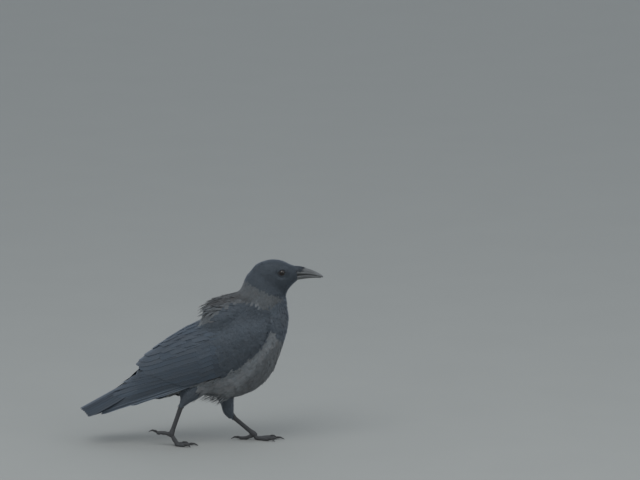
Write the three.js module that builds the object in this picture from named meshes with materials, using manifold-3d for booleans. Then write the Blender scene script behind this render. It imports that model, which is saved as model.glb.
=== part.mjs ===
// A hooded crow in mid-stride, life size, as a still museum model.
// Millimetres, +X forward (the way the bird walks), +Y to the bird's left, +Z up.
// The soles of both feet stand on z = 0, and the origin is below the middle of the model's box.
import * as THREE from "three";
import { mergeVertices } from "three/addons/utils/BufferGeometryUtils.js";
import Module from "manifold-3d";

const wasm = await Module();
wasm.setup();

// ---------------------------------------------------------------- driving dimensions
const GAP = 0.3; // clearance between two pieces that touch
const RIGHT = -1; // the bird's right side has negative y
const LEFT = 1;
const REACH = 400; // half the side of a cutting block, larger than the bird

const BILL_TIP_X = 206.5; // the bill's tip, forward of the hips' zero
const CROWN_Z = 318; // the crown's height over the ground
const EYE = { x: 137.5, z: 297, radius: 6.6, sunk: 7.4 };

const WING_LENGTH = 327; // from the bend of the wing to its tip
const WING_BEND = new THREE.Vector3(112, 0, 207.5);
const WING_SLOPE = THREE.MathUtils.degToRad(27.7); // how steeply the folded wing runs down to the rear
const WING_THICK = 6; // coverts over the arm
const QUILL_THICK = 4; // stacked flight feathers
const WING_SIDE_GAP = 1.2; // the folded wings stay this far from the midline

const TAIL_LENGTH = 179;
const TAIL_ROOT = new THREE.Vector3(-48, 0, 149.2);
const TAIL_SLOPE = THREE.MathUtils.degToRad(29.2);

const FOOT_SPREAD = 26; // each foot's distance from the midline
const TOE_RADIUS = 3;
const SOLE_SINK = 0.5; // a toe's round underside is cut flat this far above its lowest line
const MIDDLE_TOE = 41;
const HALLUX = 22;

// ---------------------------------------------------------------- finishes
const finish = (hex, roughness) =>
  new THREE.MeshStandardMaterial({ color: hex, roughness, metalness: 0 });
const HOOD_BLACK = finish(0x23272d, 0.6);
const DUSKY_GREY = finish(0x5b6067, 0.85);
const WING_BLACK = finish(0x272c35, 0.5);
const BILL_HORN = finish(0x2b2c2d, 0.4);
const LEG_SCALE = finish(0x202124, 0.55);
const CLAW_HORN = finish(0x1b1b1c, 0.35);
const EYE_GLOSS = finish(0x120c08, 0.08);

// ---------------------------------------------------------------- lofts and solids

// Every numeric field of the stations, spread to count rows along a smooth curve through them.
function spread(stations, count) {
  const fields = Object.keys(stations[0]);
  const at = (i, field) =>
    stations[Math.min(stations.length - 1, Math.max(0, i))][field];
  const rows = [];
  for (let k = 0; k < count; k++) {
    const u = (k / (count - 1)) * (stations.length - 1);
    const i = Math.min(stations.length - 2, Math.floor(u));
    const t = u - i;
    const row = {};
    for (const field of fields) {
      const [a, b, c, d] = [-1, 0, 1, 2].map((step) => at(i + step, field));
      row[field] =
        0.5 * (2 * b + (c - a) * t + (2 * a - 5 * b + 4 * c - d) * t * t + (3 * b - a - 3 * c + d) * t ** 3);
    }
    rows.push(row);
  }
  return rows;
}

// A closed surface through rings of equally many points, with a fan at each end.
function loftRings(rings) {
  const size = rings[0].length;
  const points = rings.flat();
  const index = [];
  for (let r = 0; r < rings.length - 1; r++) {
    for (let s = 0; s < size; s++) {
      const a = r * size + s;
      const b = r * size + ((s + 1) % size);
      index.push(a, b, b + size, a, b + size, a + size);
    }
  }
  for (const [ring, start, flip] of [
    [rings[0], 0, true],
    [rings.at(-1), (rings.length - 1) * size, false],
  ]) {
    const middle = ring.reduce((sum, p) => sum.add(p), new THREE.Vector3()).divideScalar(size);
    points.push(middle);
    for (let s = 0; s < size; s++) {
      const a = start + s;
      const b = start + ((s + 1) % size);
      index.push(...(flip ? [b, a, points.length - 1] : [a, b, points.length - 1]));
    }
  }
  return new THREE.BufferGeometry().setFromPoints(points).setIndex(index);
}

// A geometry as a solid whose faces point out.
function solid(geometry) {
  const bare = geometry.clone();
  bare.deleteAttribute("normal");
  bare.deleteAttribute("uv");
  const merged = mergeVertices(bare, 1e-4);
  const vertProperties = new Float32Array(merged.attributes.position.array);
  const triVerts = new Uint32Array(merged.index.array);
  const build = () =>
    new wasm.Manifold(new wasm.Mesh({ numProp: 3, vertProperties, triVerts }));
  let made = build();
  if (made.volume() < 0) {
    for (let i = 0; i < triVerts.length; i += 3) {
      [triVerts[i], triVerts[i + 1]] = [triVerts[i + 1], triVerts[i]];
    }
    made = build();
  }
  return made;
}

// The largest body of a solid, so that a cut leaves no crumbs.
function mainBody(made) {
  return made.decompose().reduce((best, body) => (body.volume() > best.volume() ? body : best));
}

function meshOf(name, made, material) {
  const { numVert, numProp, vertProperties, triVerts } = mainBody(made).getMesh();
  const position = new Float32Array(numVert * 3);
  for (let i = 0; i < numVert; i++) {
    position.set(vertProperties.subarray(i * numProp, i * numProp + 3), i * 3);
  }
  const geometry = new THREE.BufferGeometry()
    .setAttribute("position", new THREE.BufferAttribute(position, 3))
    .setIndex(new THREE.BufferAttribute(new Uint32Array(triVerts), 1));
  geometry.computeVertexNormals();
  const mesh = new THREE.Mesh(geometry, material);
  mesh.name = name;
  return mesh;
}

// A block that fills the half of space on the side that normal points to.
function halfSpace(point, normal) {
  const block = new THREE.BoxGeometry(2 * REACH, 2 * REACH, 2 * REACH);
  block.translate(0, 0, REACH);
  block.applyQuaternion(
    new THREE.Quaternion().setFromUnitVectors(new THREE.Vector3(0, 0, 1), normal.clone().normalize()),
  );
  block.translate(point.x, point.y, point.z);
  return solid(block);
}

// The part of a solid beyond a plane, and the part before it, with a gap between them.
function cutAt(made, point, normal) {
  const out = normal.clone().normalize();
  const half = GAP / 2;
  const beyond = halfSpace(point.clone().addScaledVector(out, half), out);
  const before = halfSpace(point.clone().addScaledVector(out, -half), out.clone().negate());
  return [made.intersect(beyond), made.intersect(before)];
}

// A body form on the midline: each ring stands in the plane through its top and bottom points.
// low is where the ring is widest, as a share of its height, and square rounds it out above 2.
function bodyLoft(stations, { rings, segments, square = 2.15, pad = 0 }) {
  const reach = Math.sign(stations.at(-1).topX - stations[0].topX) * pad;
  return solid(
    loftRings(
      spread(stations, rings).map((row, k) => {
        const end = k === 0 ? -reach : k === rings - 1 ? reach : 0;
        const top = new THREE.Vector3(row.topX + end, 0, row.topZ);
        const bottom = new THREE.Vector3(row.bottomX + end, 0, row.bottomZ);
        const rise = top.clone().sub(bottom).normalize();
        const height = top.distanceTo(bottom);
        const centre = bottom.clone().addScaledVector(rise, height * row.low);
        return Array.from({ length: segments }, (_, s) => {
          const angle = (s / segments) * 2 * Math.PI;
          const [c, v] = [Math.cos(angle), Math.sin(angle)];
          const tall = (v > 0 ? height * (1 - row.low) : height * row.low) + pad;
          const side = Math.sign(c) * Math.abs(c) ** (2 / square) * (row.half + pad);
          const up = Math.sign(v) * Math.abs(v) ** (2 / square) * tall;
          return centre.clone().addScaledVector(rise, up).setY(side);
        });
      }),
    ),
  );
}

// A limb along a path: rise is the half height in the plane of the path's bend and side the half width.
function limbLoft(stations, { rings, segments, up, pad = 0 }) {
  const rows = spread(stations, rings);
  const centres = rows.map((row) => new THREE.Vector3(row.x, row.y, row.z));
  return solid(
    loftRings(
      rows.map((row, k) => {
        const before = centres[Math.max(0, k - 1)];
        const after = centres[Math.min(rows.length - 1, k + 1)];
        const along = after.clone().sub(before).normalize();
        const across = up.clone().cross(along).normalize();
        const rise = along.clone().cross(across).normalize();
        const end = k === 0 ? -pad : k === rows.length - 1 ? pad : 0;
        return Array.from({ length: segments }, (_, s) => {
          const angle = ((s + 0.5) / segments) * 2 * Math.PI;
          return centres[k]
            .clone()
            .addScaledVector(along, end)
            .addScaledVector(across, Math.cos(angle) * (row.side + pad))
            .addScaledVector(rise, Math.sin(angle) * (row.rise + pad));
        });
      }),
    ),
  );
}

// ---------------------------------------------------------------- trunk, neck and head

// From under the tail, along belly and back, to the top of the neck.
const TRUNK = [
  { topX: -108, topZ: 123, bottomX: -107, bottomZ: 96, half: 14, low: 0.6 },
  { topX: -80, topZ: 153, bottomX: -90, bottomZ: 77.5, half: 25, low: 0.62 },
  { topX: -46, topZ: 181, bottomX: -62, bottomZ: 78.5, half: 34, low: 0.56 },
  { topX: -18, topZ: 200, bottomX: -34, bottomZ: 87.5, half: 43, low: 0.5 },
  { topX: 8, topZ: 212, bottomX: 2, bottomZ: 84.5, half: 47, low: 0.48 },
  { topX: 35, topZ: 231, bottomX: 46, bottomZ: 78.5, half: 50, low: 0.47 },
  { topX: 54, topZ: 247, bottomX: 89, bottomZ: 91, half: 49, low: 0.47 },
  { topX: 61, topZ: 257, bottomX: 119.5, bottomZ: 120, half: 45, low: 0.45 },
  { topX: 65, topZ: 264, bottomX: 137.5, bottomZ: 167, half: 40, low: 0.45 },
  { topX: 70, topZ: 274, bottomX: 148, bottomZ: 204, half: 35, low: 0.48 },
  { topX: 75.5, topZ: 288, bottomX: 146.5, bottomZ: 236, half: 29.5, low: 0.5 },
  { topX: 84, topZ: 299, bottomX: 142.5, bottomZ: 255.5, half: 24, low: 0.5 },
  { topX: 97.5, topZ: 308, bottomX: 140, bottomZ: 270.5, half: 17, low: 0.5 },
];

// From the back of the head to the feathered base of the bill.
const HEAD = [
  { topX: 84, topZ: 295, bottomX: 88, bottomZ: 276, half: 9, low: 0.5 },
  { topX: 89, topZ: 306, bottomX: 96, bottomZ: 266, half: 16.5, low: 0.5 },
  { topX: 100, topZ: 312.8, bottomX: 106, bottomZ: 259, half: 20.5, low: 0.48 },
  { topX: 114, topZ: CROWN_Z - 0.7, bottomX: 119, bottomZ: 255.5, half: 22, low: 0.47 },
  { topX: 128, topZ: CROWN_Z - 0.2, bottomX: 132, bottomZ: 255, half: 21.5, low: 0.48 },
  { topX: 140, topZ: 314.8, bottomX: 144, bottomZ: 259.5, half: 18.8, low: 0.48 },
  { topX: 150, topZ: 309.4, bottomX: 151.5, bottomZ: 270.5, half: 14.5, low: 0.48 },
  { topX: 158, topZ: 307, bottomX: 158.5, bottomZ: 277.5, half: 11, low: 0.48 },
  { topX: 165, topZ: 305, bottomX: 164.5, bottomZ: 281.5, half: 8.6, low: 0.5 },
];

const UPPER_BILL = [
  { topX: 143, topZ: 303.6, bottomX: 143, bottomZ: 288.8, half: 8.4, low: 0.3 },
  { topX: 158, topZ: 305.8, bottomX: 158, bottomZ: 290, half: 8.2, low: 0.3 },
  { topX: 170, topZ: 304, bottomX: 170, bottomZ: 291.5, half: 7.1, low: 0.3 },
  { topX: 182, topZ: 301.1, bottomX: 182, bottomZ: 291.3, half: 5.5, low: 0.3 },
  { topX: 192, topZ: 297.2, bottomX: 192, bottomZ: 290, half: 3.9, low: 0.32 },
  { topX: 200, topZ: 292.8, bottomX: 200, bottomZ: 288.2, half: 2.3, low: 0.36 },
  { topX: BILL_TIP_X - 1.6, topZ: 289.6, bottomX: BILL_TIP_X - 1.6, bottomZ: 286.8, half: 1, low: 0.45 },
  { topX: BILL_TIP_X, topZ: 288, bottomX: BILL_TIP_X, bottomZ: 286.6, half: 0.5, low: 0.5 },
];
const LOWER_BILL = [
  { topX: 143, topZ: 288.5, bottomX: 143, bottomZ: 278, half: 8, low: 0.75 },
  { topX: 158, topZ: 289.7, bottomX: 158, bottomZ: 281.3, half: 7.4, low: 0.75 },
  { topX: 170, topZ: 291.2, bottomX: 170, bottomZ: 284, half: 6.2, low: 0.75 },
  { topX: 182, topZ: 291, bottomX: 182, bottomZ: 285.5, half: 4.8, low: 0.74 },
  { topX: 192, topZ: 289.7, bottomX: 192, bottomZ: 286.4, half: 3.2, low: 0.7 },
  { topX: 200, topZ: 287.9, bottomX: 200, bottomZ: 286.1, half: 1.6, low: 0.65 },
  { topX: 203, topZ: 286.9, bottomX: 203, bottomZ: 286, half: 0.7, low: 0.6 },
];

const trunkForm = (pad) => bodyLoft(TRUNK, { rings: 21, segments: 20, pad });
const headForm = (pad) => bodyLoft(HEAD, { rings: 12, segments: 16, pad });
const upperBill = (pad) => bodyLoft(UPPER_BILL, { rings: 9, segments: 10, square: 1.9, pad });
const lowerBill = (pad) => bodyLoft(LOWER_BILL, { rings: 8, segments: 10, pad });

function eyeBall(side, pad) {
  const ball = new THREE.SphereGeometry(EYE.radius + pad, 10, 6);
  ball.translate(EYE.x, side * (20.4 - EYE.sunk), EYE.z);
  return solid(ball);
}

const NECK_TOP = { point: new THREE.Vector3(113, 0, 276), normal: new THREE.Vector3(0.59, 0, 0.81) };
const NECK_BASE = { point: new THREE.Vector3(106, 0, 247), normal: new THREE.Vector3(0.41, 0, 0.91) };

const bareBody = (pad) => trunkForm(pad).add(headForm(pad));

// ---------------------------------------------------------------- wings

// The wing's own frame: s runs from the bend to the tip and h stands across it, up the bird's side.
const WING_ALONG = new THREE.Vector3(-Math.cos(WING_SLOPE), 0, -Math.sin(WING_SLOPE));
const WING_UP = new THREE.Vector3(-Math.sin(WING_SLOPE), 0, Math.cos(WING_SLOPE));

// Where the outside of the folded wings lies: half the width over both, and the reach above and below.
const WING_FORM = [
  { s: -12, half: 40, over: 42, under: 50 },
  { s: 8, half: 48, over: 52, under: 58 },
  { s: 40, half: 54.5, over: 61, under: 66 },
  { s: 85, half: 58, over: 65, under: 71 },
  { s: 125, half: 56.5, over: 67, under: 70 },
  { s: 165, half: 50.5, over: 64, under: 63 },
  { s: 205, half: 43.5, over: 59, under: 56 },
  { s: 250, half: 38.5, over: 43.5, under: 50 },
  { s: 295, half: 35, over: 36, under: 44 },
  { s: 335, half: 32, over: 31, under: 36 },
];
const WING_AXIS_DROP = -8; // the form is widest this far below the wing's own line

function wingForm(inset) {
  return solid(
    loftRings(
      spread(WING_FORM, 14).map((row) => {
        const centre = WING_BEND.clone()
          .addScaledVector(WING_ALONG, row.s)
          .addScaledVector(WING_UP, WING_AXIS_DROP);
        const segments = 24;
        return Array.from({ length: segments }, (_, k) => {
          const angle = ((k + 0.5) / segments) * 2 * Math.PI;
          const height = Math.sin(angle) * ((angle < Math.PI ? row.over : row.under) - inset);
          return centre
            .clone()
            .addScaledVector(WING_UP, height)
            .setY(Math.cos(angle) * (row.half - inset));
        });
      }),
    ),
  );
}

// Rounded feather ends between two points of an outline, each one standing out by depth.
function featherEnds(shape, from, to, count, depth) {
  const step = to.clone().sub(from).divideScalar(count);
  const out = new THREE.Vector2(-step.y, step.x).normalize().multiplyScalar(depth);
  for (let k = 0; k < count; k++) {
    const start = from.clone().addScaledVector(step, k);
    const end = start.clone().add(step);
    const tip = start.clone().lerp(end, 0.42).add(out);
    shape.lineTo(start.x, start.y);
    shape.quadraticCurveTo(start.x + out.x * 0.9, start.y + out.y * 0.9, tip.x, tip.y);
    shape.quadraticCurveTo(end.x + out.x * 0.35, end.y + out.y * 0.35, end.x, end.y);
  }
}

// The whole wing's edge in (s, h): top edge, tertial tips, primary tips, then the lower edge forward.
function wingOutline() {
  const shape = new THREE.Shape();
  shape.moveTo(-6, -2);
  shape.quadraticCurveTo(-4, 22, 12, 38);
  shape.quadraticCurveTo(34, 56, 74, 59);
  shape.lineTo(150, 61);
  shape.quadraticCurveTo(190, 54.5, 214, 51);
  shape.quadraticCurveTo(226, 49, 228, 43.5);
  shape.lineTo(217, 37);
  shape.quadraticCurveTo(227, 36, 228, 30);
  shape.lineTo(224, 25);
  shape.lineTo(246, 23.5);
  const tips = 5;
  const first = new THREE.Vector2(268, 23);
  const last = new THREE.Vector2(WING_LENGTH - 4, 8);
  for (let k = 0; k < tips; k++) {
    const tip = first.clone().lerp(last, k / (tips - 1));
    shape.lineTo(tip.x, tip.y + 2);
    shape.quadraticCurveTo(tip.x + 5, tip.y, tip.x + 3, tip.y - 3.5);
  }
  shape.quadraticCurveTo(WING_LENGTH + 5, 2, WING_LENGTH - 8, -3);
  shape.quadraticCurveTo(290, -10, 250, -15);
  shape.lineTo(170, -23.5);
  shape.quadraticCurveTo(135, -37, 102, -41);
  shape.quadraticCurveTo(64, -39, 30, -26);
  shape.quadraticCurveTo(0, -18, -6, -2);
  return shape;
}

// Where the coverts end over the quills, and where the secondaries end over the primaries.
function coverOutline() {
  const shape = new THREE.Shape();
  shape.moveTo(-40, -90);
  shape.lineTo(-40, 90);
  shape.lineTo(112, 90);
  featherEnds(shape, new THREE.Vector2(112, 74), new THREE.Vector2(128, -14), 7, 7);
  shape.lineTo(142, -26);
  shape.lineTo(150, -90);
  return shape;
}

function secondaryOutline() {
  const shape = new THREE.Shape();
  shape.moveTo(-40, -90);
  shape.lineTo(-40, 120);
  shape.lineTo(260, 120);
  shape.lineTo(236, 28.5);
  featherEnds(shape, new THREE.Vector2(218, 27), new THREE.Vector2(176, -11), 4, 8);
  shape.lineTo(160, -18);
  shape.lineTo(142, -28);
  shape.lineTo(140, -90);
  return shape;
}

// A flat outline in (s, h) as a block through one side of the bird.
function sideBlock(shape, side) {
  const block = new THREE.ExtrudeGeometry(shape, {
    depth: 100,
    bevelEnabled: false,
    curveSegments: 2,
  });
  const near = WING_SIDE_GAP;
  const start = side > 0 ? near : -100 - near;
  block.applyMatrix4(
    new THREE.Matrix4()
      .makeBasis(WING_ALONG, WING_UP.clone(), new THREE.Vector3(0, 1, 0))
      .setPosition(WING_BEND.x, start, WING_BEND.z),
  );
  return solid(block);
}

// All the room one folded wing takes up, down to its lower edge less drop.
function wingRoom(side, drop) {
  const room = wingForm(-GAP).intersect(sideBlock(wingOutline(), side));
  return room.add(room.translate(0, 0, -drop));
}

// A block grown by the gap, along the wing and across it.
function grown(block) {
  const steps = [WING_ALONG, WING_UP].flatMap((way) => [GAP, -GAP].map((by) => way.clone().multiplyScalar(by)));
  return steps.reduce((sum, by) => sum.add(block.translate(by.x, by.y, by.z)), block);
}

function wingPieces(side) {
  const body = bareBody(GAP).add(tailFan(GAP)).add(mantleForm(GAP));
  const outline = sideBlock(wingOutline(), side);
  const cover = sideBlock(coverOutline(), side);
  const second = sideBlock(secondaryOutline(), side);
  const outer = wingForm(0);
  const thick = outer.subtract(wingForm(WING_THICK)).intersect(outline).subtract(body);
  const thin = outer.subtract(wingForm(QUILL_THICK)).intersect(outline).subtract(body);
  const coverts = thick.intersect(cover);
  const past = thin.subtract(grown(cover));
  return { coverts, secondaries: past.intersect(second), primaries: past.subtract(grown(second)) };
}

// ---------------------------------------------------------------- tail and mantle

const TAIL_ALONG = new THREE.Vector3(-Math.cos(TAIL_SLOPE), 0, -Math.sin(TAIL_SLOPE));
const TAIL_UP = new THREE.Vector3(-Math.sin(TAIL_SLOPE), 0, Math.cos(TAIL_SLOPE));
const TAIL_ARCH = 13; // the outer feathers lie this much below the middle ones
const TAIL_HALF = 31;
const TAIL_THICK = 3.4;

// A sheet arched over the tail's line, wider than the tail, to be cut to its outline.
function tailSheet(pad) {
  const steps = 8;
  return solid(
    loftRings(
      [-10, 60, 120, TAIL_LENGTH + 10].map((t) => {
        const thick = TAIL_THICK * (1 - (0.45 * t) / TAIL_LENGTH);
        const line = (j, lift) => {
          const y = TAIL_HALF * 1.3 * (1 - (2 * j) / steps);
          const drop = TAIL_ARCH * (y / TAIL_HALF) ** 2;
          return TAIL_ROOT.clone()
            .addScaledVector(TAIL_ALONG, t)
            .addScaledVector(TAIL_UP, lift - drop)
            .setY(y);
        };
        const over = Array.from({ length: steps + 1 }, (_, j) => line(j, thick / 2 + pad));
        const under = Array.from({ length: steps + 1 }, (_, j) => line(steps - j, -thick / 2 - pad));
        return [...over, ...under];
      }),
    ),
  );
}

// The tail from above in (t, y): straight sides and six rounded feather ends on each side.
function tailOutline(pad) {
  const shape = new THREE.Shape();
  const feathers = 6;
  const half = TAIL_HALF + pad;
  shape.moveTo(0, 20);
  shape.lineTo(0, -20);
  for (let k = 0; k < 2 * feathers; k++) {
    const y = -half + ((k + 0.5) / feathers) * half;
    const rank = Math.abs(y) / half; // 0 at the middle feathers, 1 at the outer ones
    const end = TAIL_LENGTH - 13 * rank * rank;
    const wide = half / feathers / 2;
    const inward = y < 0 ? 1 : -1;
    if (k === 0) shape.quadraticCurveTo(70, -half * 0.86, end - 8, -half);
    shape.lineTo(end - (y < 0 ? 5 : 1.5), y - wide);
    shape.quadraticCurveTo(end + 1, y - wide * 0.6, end, y + inward * wide * 0.3);
    shape.quadraticCurveTo(end + 0.5, y + wide * 0.7, end - (y < 0 ? 1.5 : 5), y + wide);
    if (k === 2 * feathers - 1) {
      shape.lineTo(end - 8, half);
      shape.quadraticCurveTo(70, half * 0.86, 0, 20);
    }
  }
  return shape;
}

function tailFan(pad) {
  const block = new THREE.ExtrudeGeometry(tailOutline(pad), {
    depth: 60,
    bevelEnabled: false,
    curveSegments: 2,
  });
  // (t, y, up): along the tail, to the right, and up out of it.
  block.applyMatrix4(
    new THREE.Matrix4()
      .makeBasis(TAIL_ALONG, new THREE.Vector3(0, -1, 0), TAIL_UP)
      .setPosition(TAIL_ROOT.clone().addScaledVector(TAIL_UP, -30)),
  );
  return tailSheet(pad).intersect(solid(block));
}

// Mantle feathers that the wind lifts off the back, from the base of the neck to their loose ends.
const MANTLE = [
  { topX: 80, topZ: 272, bottomX: 84, bottomZ: 246, half: 18, low: 0.2 },
  { topX: 66, topZ: 262.5, bottomX: 70, bottomZ: 222, half: 33, low: 0.1 },
  { topX: 54, topZ: 260, bottomX: 56, bottomZ: 210, half: 41, low: 0.09 },
  { topX: 40, topZ: 256, bottomX: 40, bottomZ: 198, half: 46, low: 0.08 },
  { topX: 25, topZ: 250, bottomX: 25, bottomZ: 195, half: 44.5, low: 0.09 },
  { topX: 12, topZ: 241, bottomX: 12, bottomZ: 198, half: 37, low: 0.1 },
  { topX: 4, topZ: 233, bottomX: 4, bottomZ: 204, half: 25, low: 0.12 },
];
const mantleForm = (pad) => bodyLoft(MANTLE, { rings: 8, segments: 16, square: 2, pad });

// ---------------------------------------------------------------- legs and feet

// The right leg trails: its foot rolls off the ground. The left leg reaches forward on a flat foot.
const LEGS = [
  {
    side: RIGHT,
    name: "right",
    heel: new THREE.Vector3(-31.5, -27, 77),
    foot: new THREE.Vector3(-51, -FOOT_SPREAD, 21),
    thigh: [
      { x: 16, y: -24, z: 128, rise: 19, side: 16 },
      { x: -4, y: -26, z: 108, rise: 19, side: 16 },
      { x: -14, y: -27, z: 96, rise: 16, side: 14 },
      { x: -23, y: -27, z: 85, rise: 11.5, side: 10 },
      { x: -30, y: -27, z: 76, rise: 7, side: 6.4 },
      { x: -33.5, y: -27, z: 69, rise: 5, side: 4.8 },
    ],
    hallux: { heading: 180, z: 22.5, clawRise: 5.5 },
  },
  {
    side: LEFT,
    name: "left",
    heel: new THREE.Vector3(43.2, 27, 47.8),
    foot: new THREE.Vector3(88, FOOT_SPREAD, 10),
    thigh: [
      { x: 30, y: 24, z: 112, rise: 26, side: 16 },
      { x: 37, y: 26, z: 88, rise: 21, side: 15 },
      { x: 42.5, y: 27, z: 68, rise: 12, side: 12 },
      { x: 44.2, y: 27, z: 54, rise: 10.2, side: 9.4 },
      { x: 46.8, y: 27, z: 44.8, rise: 7.8, side: 7 },
      { x: 52.2, y: 27, z: 38.3, rise: 5, side: 5 },
    ],
    hallux: { heading: 176, z: TOE_RADIUS - SOLE_SINK, clawRise: 0 },
  },
];

const TOES = [
  { name: "inner", heading: -27, length: 0.76, claw: 12 },
  { name: "middle", heading: 0, length: 1, claw: 14 },
  { name: "outer", heading: 24, length: 0.84, claw: 11 },
];

const FORWARD = new THREE.Vector3(1, 0, 0);
const SKY = new THREE.Vector3(0, 0, 1);

function tarsusForm(leg, pad) {
  const at = (share) => leg.heel.clone().lerp(leg.foot, share);
  const station = (share, rise, side) => ({ ...at(share), rise, side });
  const rows = [
    station(-0.06, 4.2, 3.4),
    station(0.04, 4.9, 4),
    station(0.22, 4.2, 3.1),
    station(0.55, 3.8, 2.8),
    station(0.85, 4, 3.1),
    station(1.0, 5.3, 4.9),
    station(1.09, 4.3, 4.5),
  ];
  return limbLoft(rows, { rings: 7, segments: 8, up: FORWARD, pad });
}

// A point of a foot at a distance along a heading from the foot's joint, at a height over the ground.
function footPoint(leg, heading, distance, z) {
  const angle = THREE.MathUtils.degToRad(heading) * leg.side;
  return {
    x: leg.foot.x + Math.cos(angle) * distance,
    y: leg.foot.y + Math.sin(angle) * distance,
    z,
  };
}

const SOLE = TOE_RADIUS - SOLE_SINK; // height of a toe's centre line where it lies on the ground

function toeForm(leg, toe, pad) {
  const long = MIDDLE_TOE * toe.length;
  const high = leg.foot.z;
  const dip = Math.max(0, high - SOLE); // what the toe has to come down by before it lies flat
  const landing = 3 + dip * 0.42;
  const stretch = Math.sqrt(landing ** 2 + dip ** 2);
  const flat = long - stretch;
  const on = (distance, z, radius) => ({
    ...footPoint(leg, toe.heading, distance, z),
    rise: radius,
    side: radius * 0.92,
  });
  const rows = [
    on(-1, high + 0.6, 3.6),
    on(landing * 0.45, SOLE + dip * 0.5, 3.5),
    on(landing, SOLE + 0.5, TOE_RADIUS + 0.5),
    on(landing + flat * 0.35, SOLE, TOE_RADIUS - 0.35),
    on(landing + flat * 0.68, SOLE, TOE_RADIUS),
    on(landing + flat - 1, SOLE, TOE_RADIUS - 0.4),
    on(landing + flat + 1.6, SOLE, 1.6),
  ];
  return limbLoft(rows, { rings: 7, segments: 8, up: SKY, pad });
}

function toeReach(leg, toe) {
  const dip = Math.max(0, leg.foot.z - SOLE);
  const landing = 3 + dip * 0.42;
  return landing + MIDDLE_TOE * toe.length - Math.sqrt(landing ** 2 + dip ** 2);
}

// A curved claw from the end of a toe: it arches up, then down to a point that climb lifts.
function clawForm(leg, heading, start, z, long, climb, pad) {
  const on = (share, lift, radius) => ({
    ...footPoint(leg, heading, start + long * share, z + lift + climb * share * (1.6 - share)),
    rise: radius,
    side: radius * 0.72,
  });
  const rows = [
    on(-0.1, 0.2, 1.5),
    on(0.12, 1.1, 2.1),
    on(0.4, 1.7, 1.75),
    on(0.7, 0.6, 1.2),
    on(0.92, -1.1, 0.62),
    on(1, -2.0, 0.3),
  ];
  return limbLoft(rows, { rings: 5, segments: 6, up: SKY, pad });
}

function halluxForm(leg, pad) {
  const { heading, z } = leg.hallux;
  const base = leg.foot.z - 1.5;
  const on = (distance, height, radius) => ({
    ...footPoint(leg, heading, distance, height),
    rise: radius,
    side: radius * 0.92,
  });
  const rows = [
    on(-1, base, 3.6),
    on(HALLUX * 0.3, (base + z) / 2, 3.4),
    on(HALLUX * 0.6, z + 0.2, 3),
    on(HALLUX * 0.9, z, TOE_RADIUS + 0.2),
    on(HALLUX * 1.08, z + 0.2, 2.7),
    on(HALLUX * 1.16, z + 0.5, 1.7),
  ];
  return limbLoft(rows, { rings: 7, segments: 8, up: SKY, pad });
}

// ---------------------------------------------------------------- assembly

const bird = new THREE.Group();
const ground = halfSpace(new THREE.Vector3(0, 0, 0), SKY);

function put(name, made, material) {
  bird.add(meshOf(name, made, material));
}

function buildBody() {
  const bills = upperBill(GAP).add(lowerBill(GAP));
  const eyes = eyeBall(RIGHT, GAP).add(eyeBall(LEFT, GAP));
  const whole = bareBody(0).subtract(bills).subtract(eyes);
  const [head, rest] = cutAt(whole, NECK_TOP.point, NECK_TOP.normal);
  const [neck, trunk] = cutAt(rest, NECK_BASE.point, NECK_BASE.normal);
  put("head", head, HOOD_BLACK);
  put("neck", neck, DUSKY_GREY);
  put("trunk", trunk, DUSKY_GREY);
  put("bill_upper", upperBill(0), BILL_HORN);
  put("bill_lower", lowerBill(0).subtract(upperBill(GAP)), BILL_HORN);
  put("eye_right", eyeBall(RIGHT, 0), EYE_GLOSS);
  put("eye_left", eyeBall(LEFT, 0), EYE_GLOSS);
  put("mantle", mantleForm(0).subtract(bareBody(GAP)), DUSKY_GREY);
  put("tail", tailFan(0).subtract(bareBody(GAP)), WING_BLACK);
}

function buildWings() {
  for (const [side, name] of [[RIGHT, "right"], [LEFT, "left"]]) {
    const { coverts, secondaries, primaries } = wingPieces(side);
    put(`wing_coverts_${name}`, coverts, WING_BLACK);
    put(`wing_secondaries_${name}`, secondaries, WING_BLACK);
    put(`wing_primaries_${name}`, primaries, WING_BLACK);
  }
}

function buildLeg(leg) {
  const thighForm = (pad) => limbLoft(leg.thigh, { rings: 8, segments: 12, up: FORWARD, pad });
  const upperBody = bareBody(GAP).add(wingRoom(leg.side, GAP));
  put(`thigh_${leg.name}`, thighForm(0).subtract(upperBody), HOOD_BLACK);
  put(`tarsus_${leg.name}`, tarsusForm(leg, 0).subtract(thighForm(GAP)).intersect(ground), LEG_SCALE);
  let taken = tarsusForm(leg, GAP).add(thighForm(GAP));
  for (const toe of TOES) {
    const made = toeForm(leg, toe, 0).subtract(taken).intersect(ground);
    put(`toe_${toe.name}_${leg.name}`, made, LEG_SCALE);
    const claw = clawForm(leg, toe.heading, toeReach(leg, toe) + 1, SOLE, toe.claw, 0, 0);
    const clear = toeForm(leg, toe, GAP);
    put(`claw_${toe.name}_${leg.name}`, claw.subtract(clear), CLAW_HORN);
    taken = taken.add(clear);
  }
  put(`hallux_${leg.name}`, halluxForm(leg, 0).subtract(taken).intersect(ground), LEG_SCALE);
  const { heading, z, clawRise } = leg.hallux;
  const claw = clawForm(leg, heading, HALLUX * 1.12, z + 0.4, 14, clawRise, 0);
  put(`claw_hallux_${leg.name}`, claw.subtract(halluxForm(leg, GAP)), CLAW_HORN);
}

buildBody();
buildWings();
LEGS.forEach(buildLeg);

// The origin goes on the ground, below the middle of the model's box.
const box = new THREE.Box3().setFromObject(bird);
bird.position.set(-(box.min.x + box.max.x) / 2, -(box.min.y + box.max.y) / 2, -box.min.z);

export default bird;
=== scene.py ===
"""A walking crow in the round: skin, plumage, bill, eyes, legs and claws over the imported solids.

Sizes are millimetres in the bird's own axes: X runs forward, Y to its left and Z up, with the floor at 0.
"""

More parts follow.
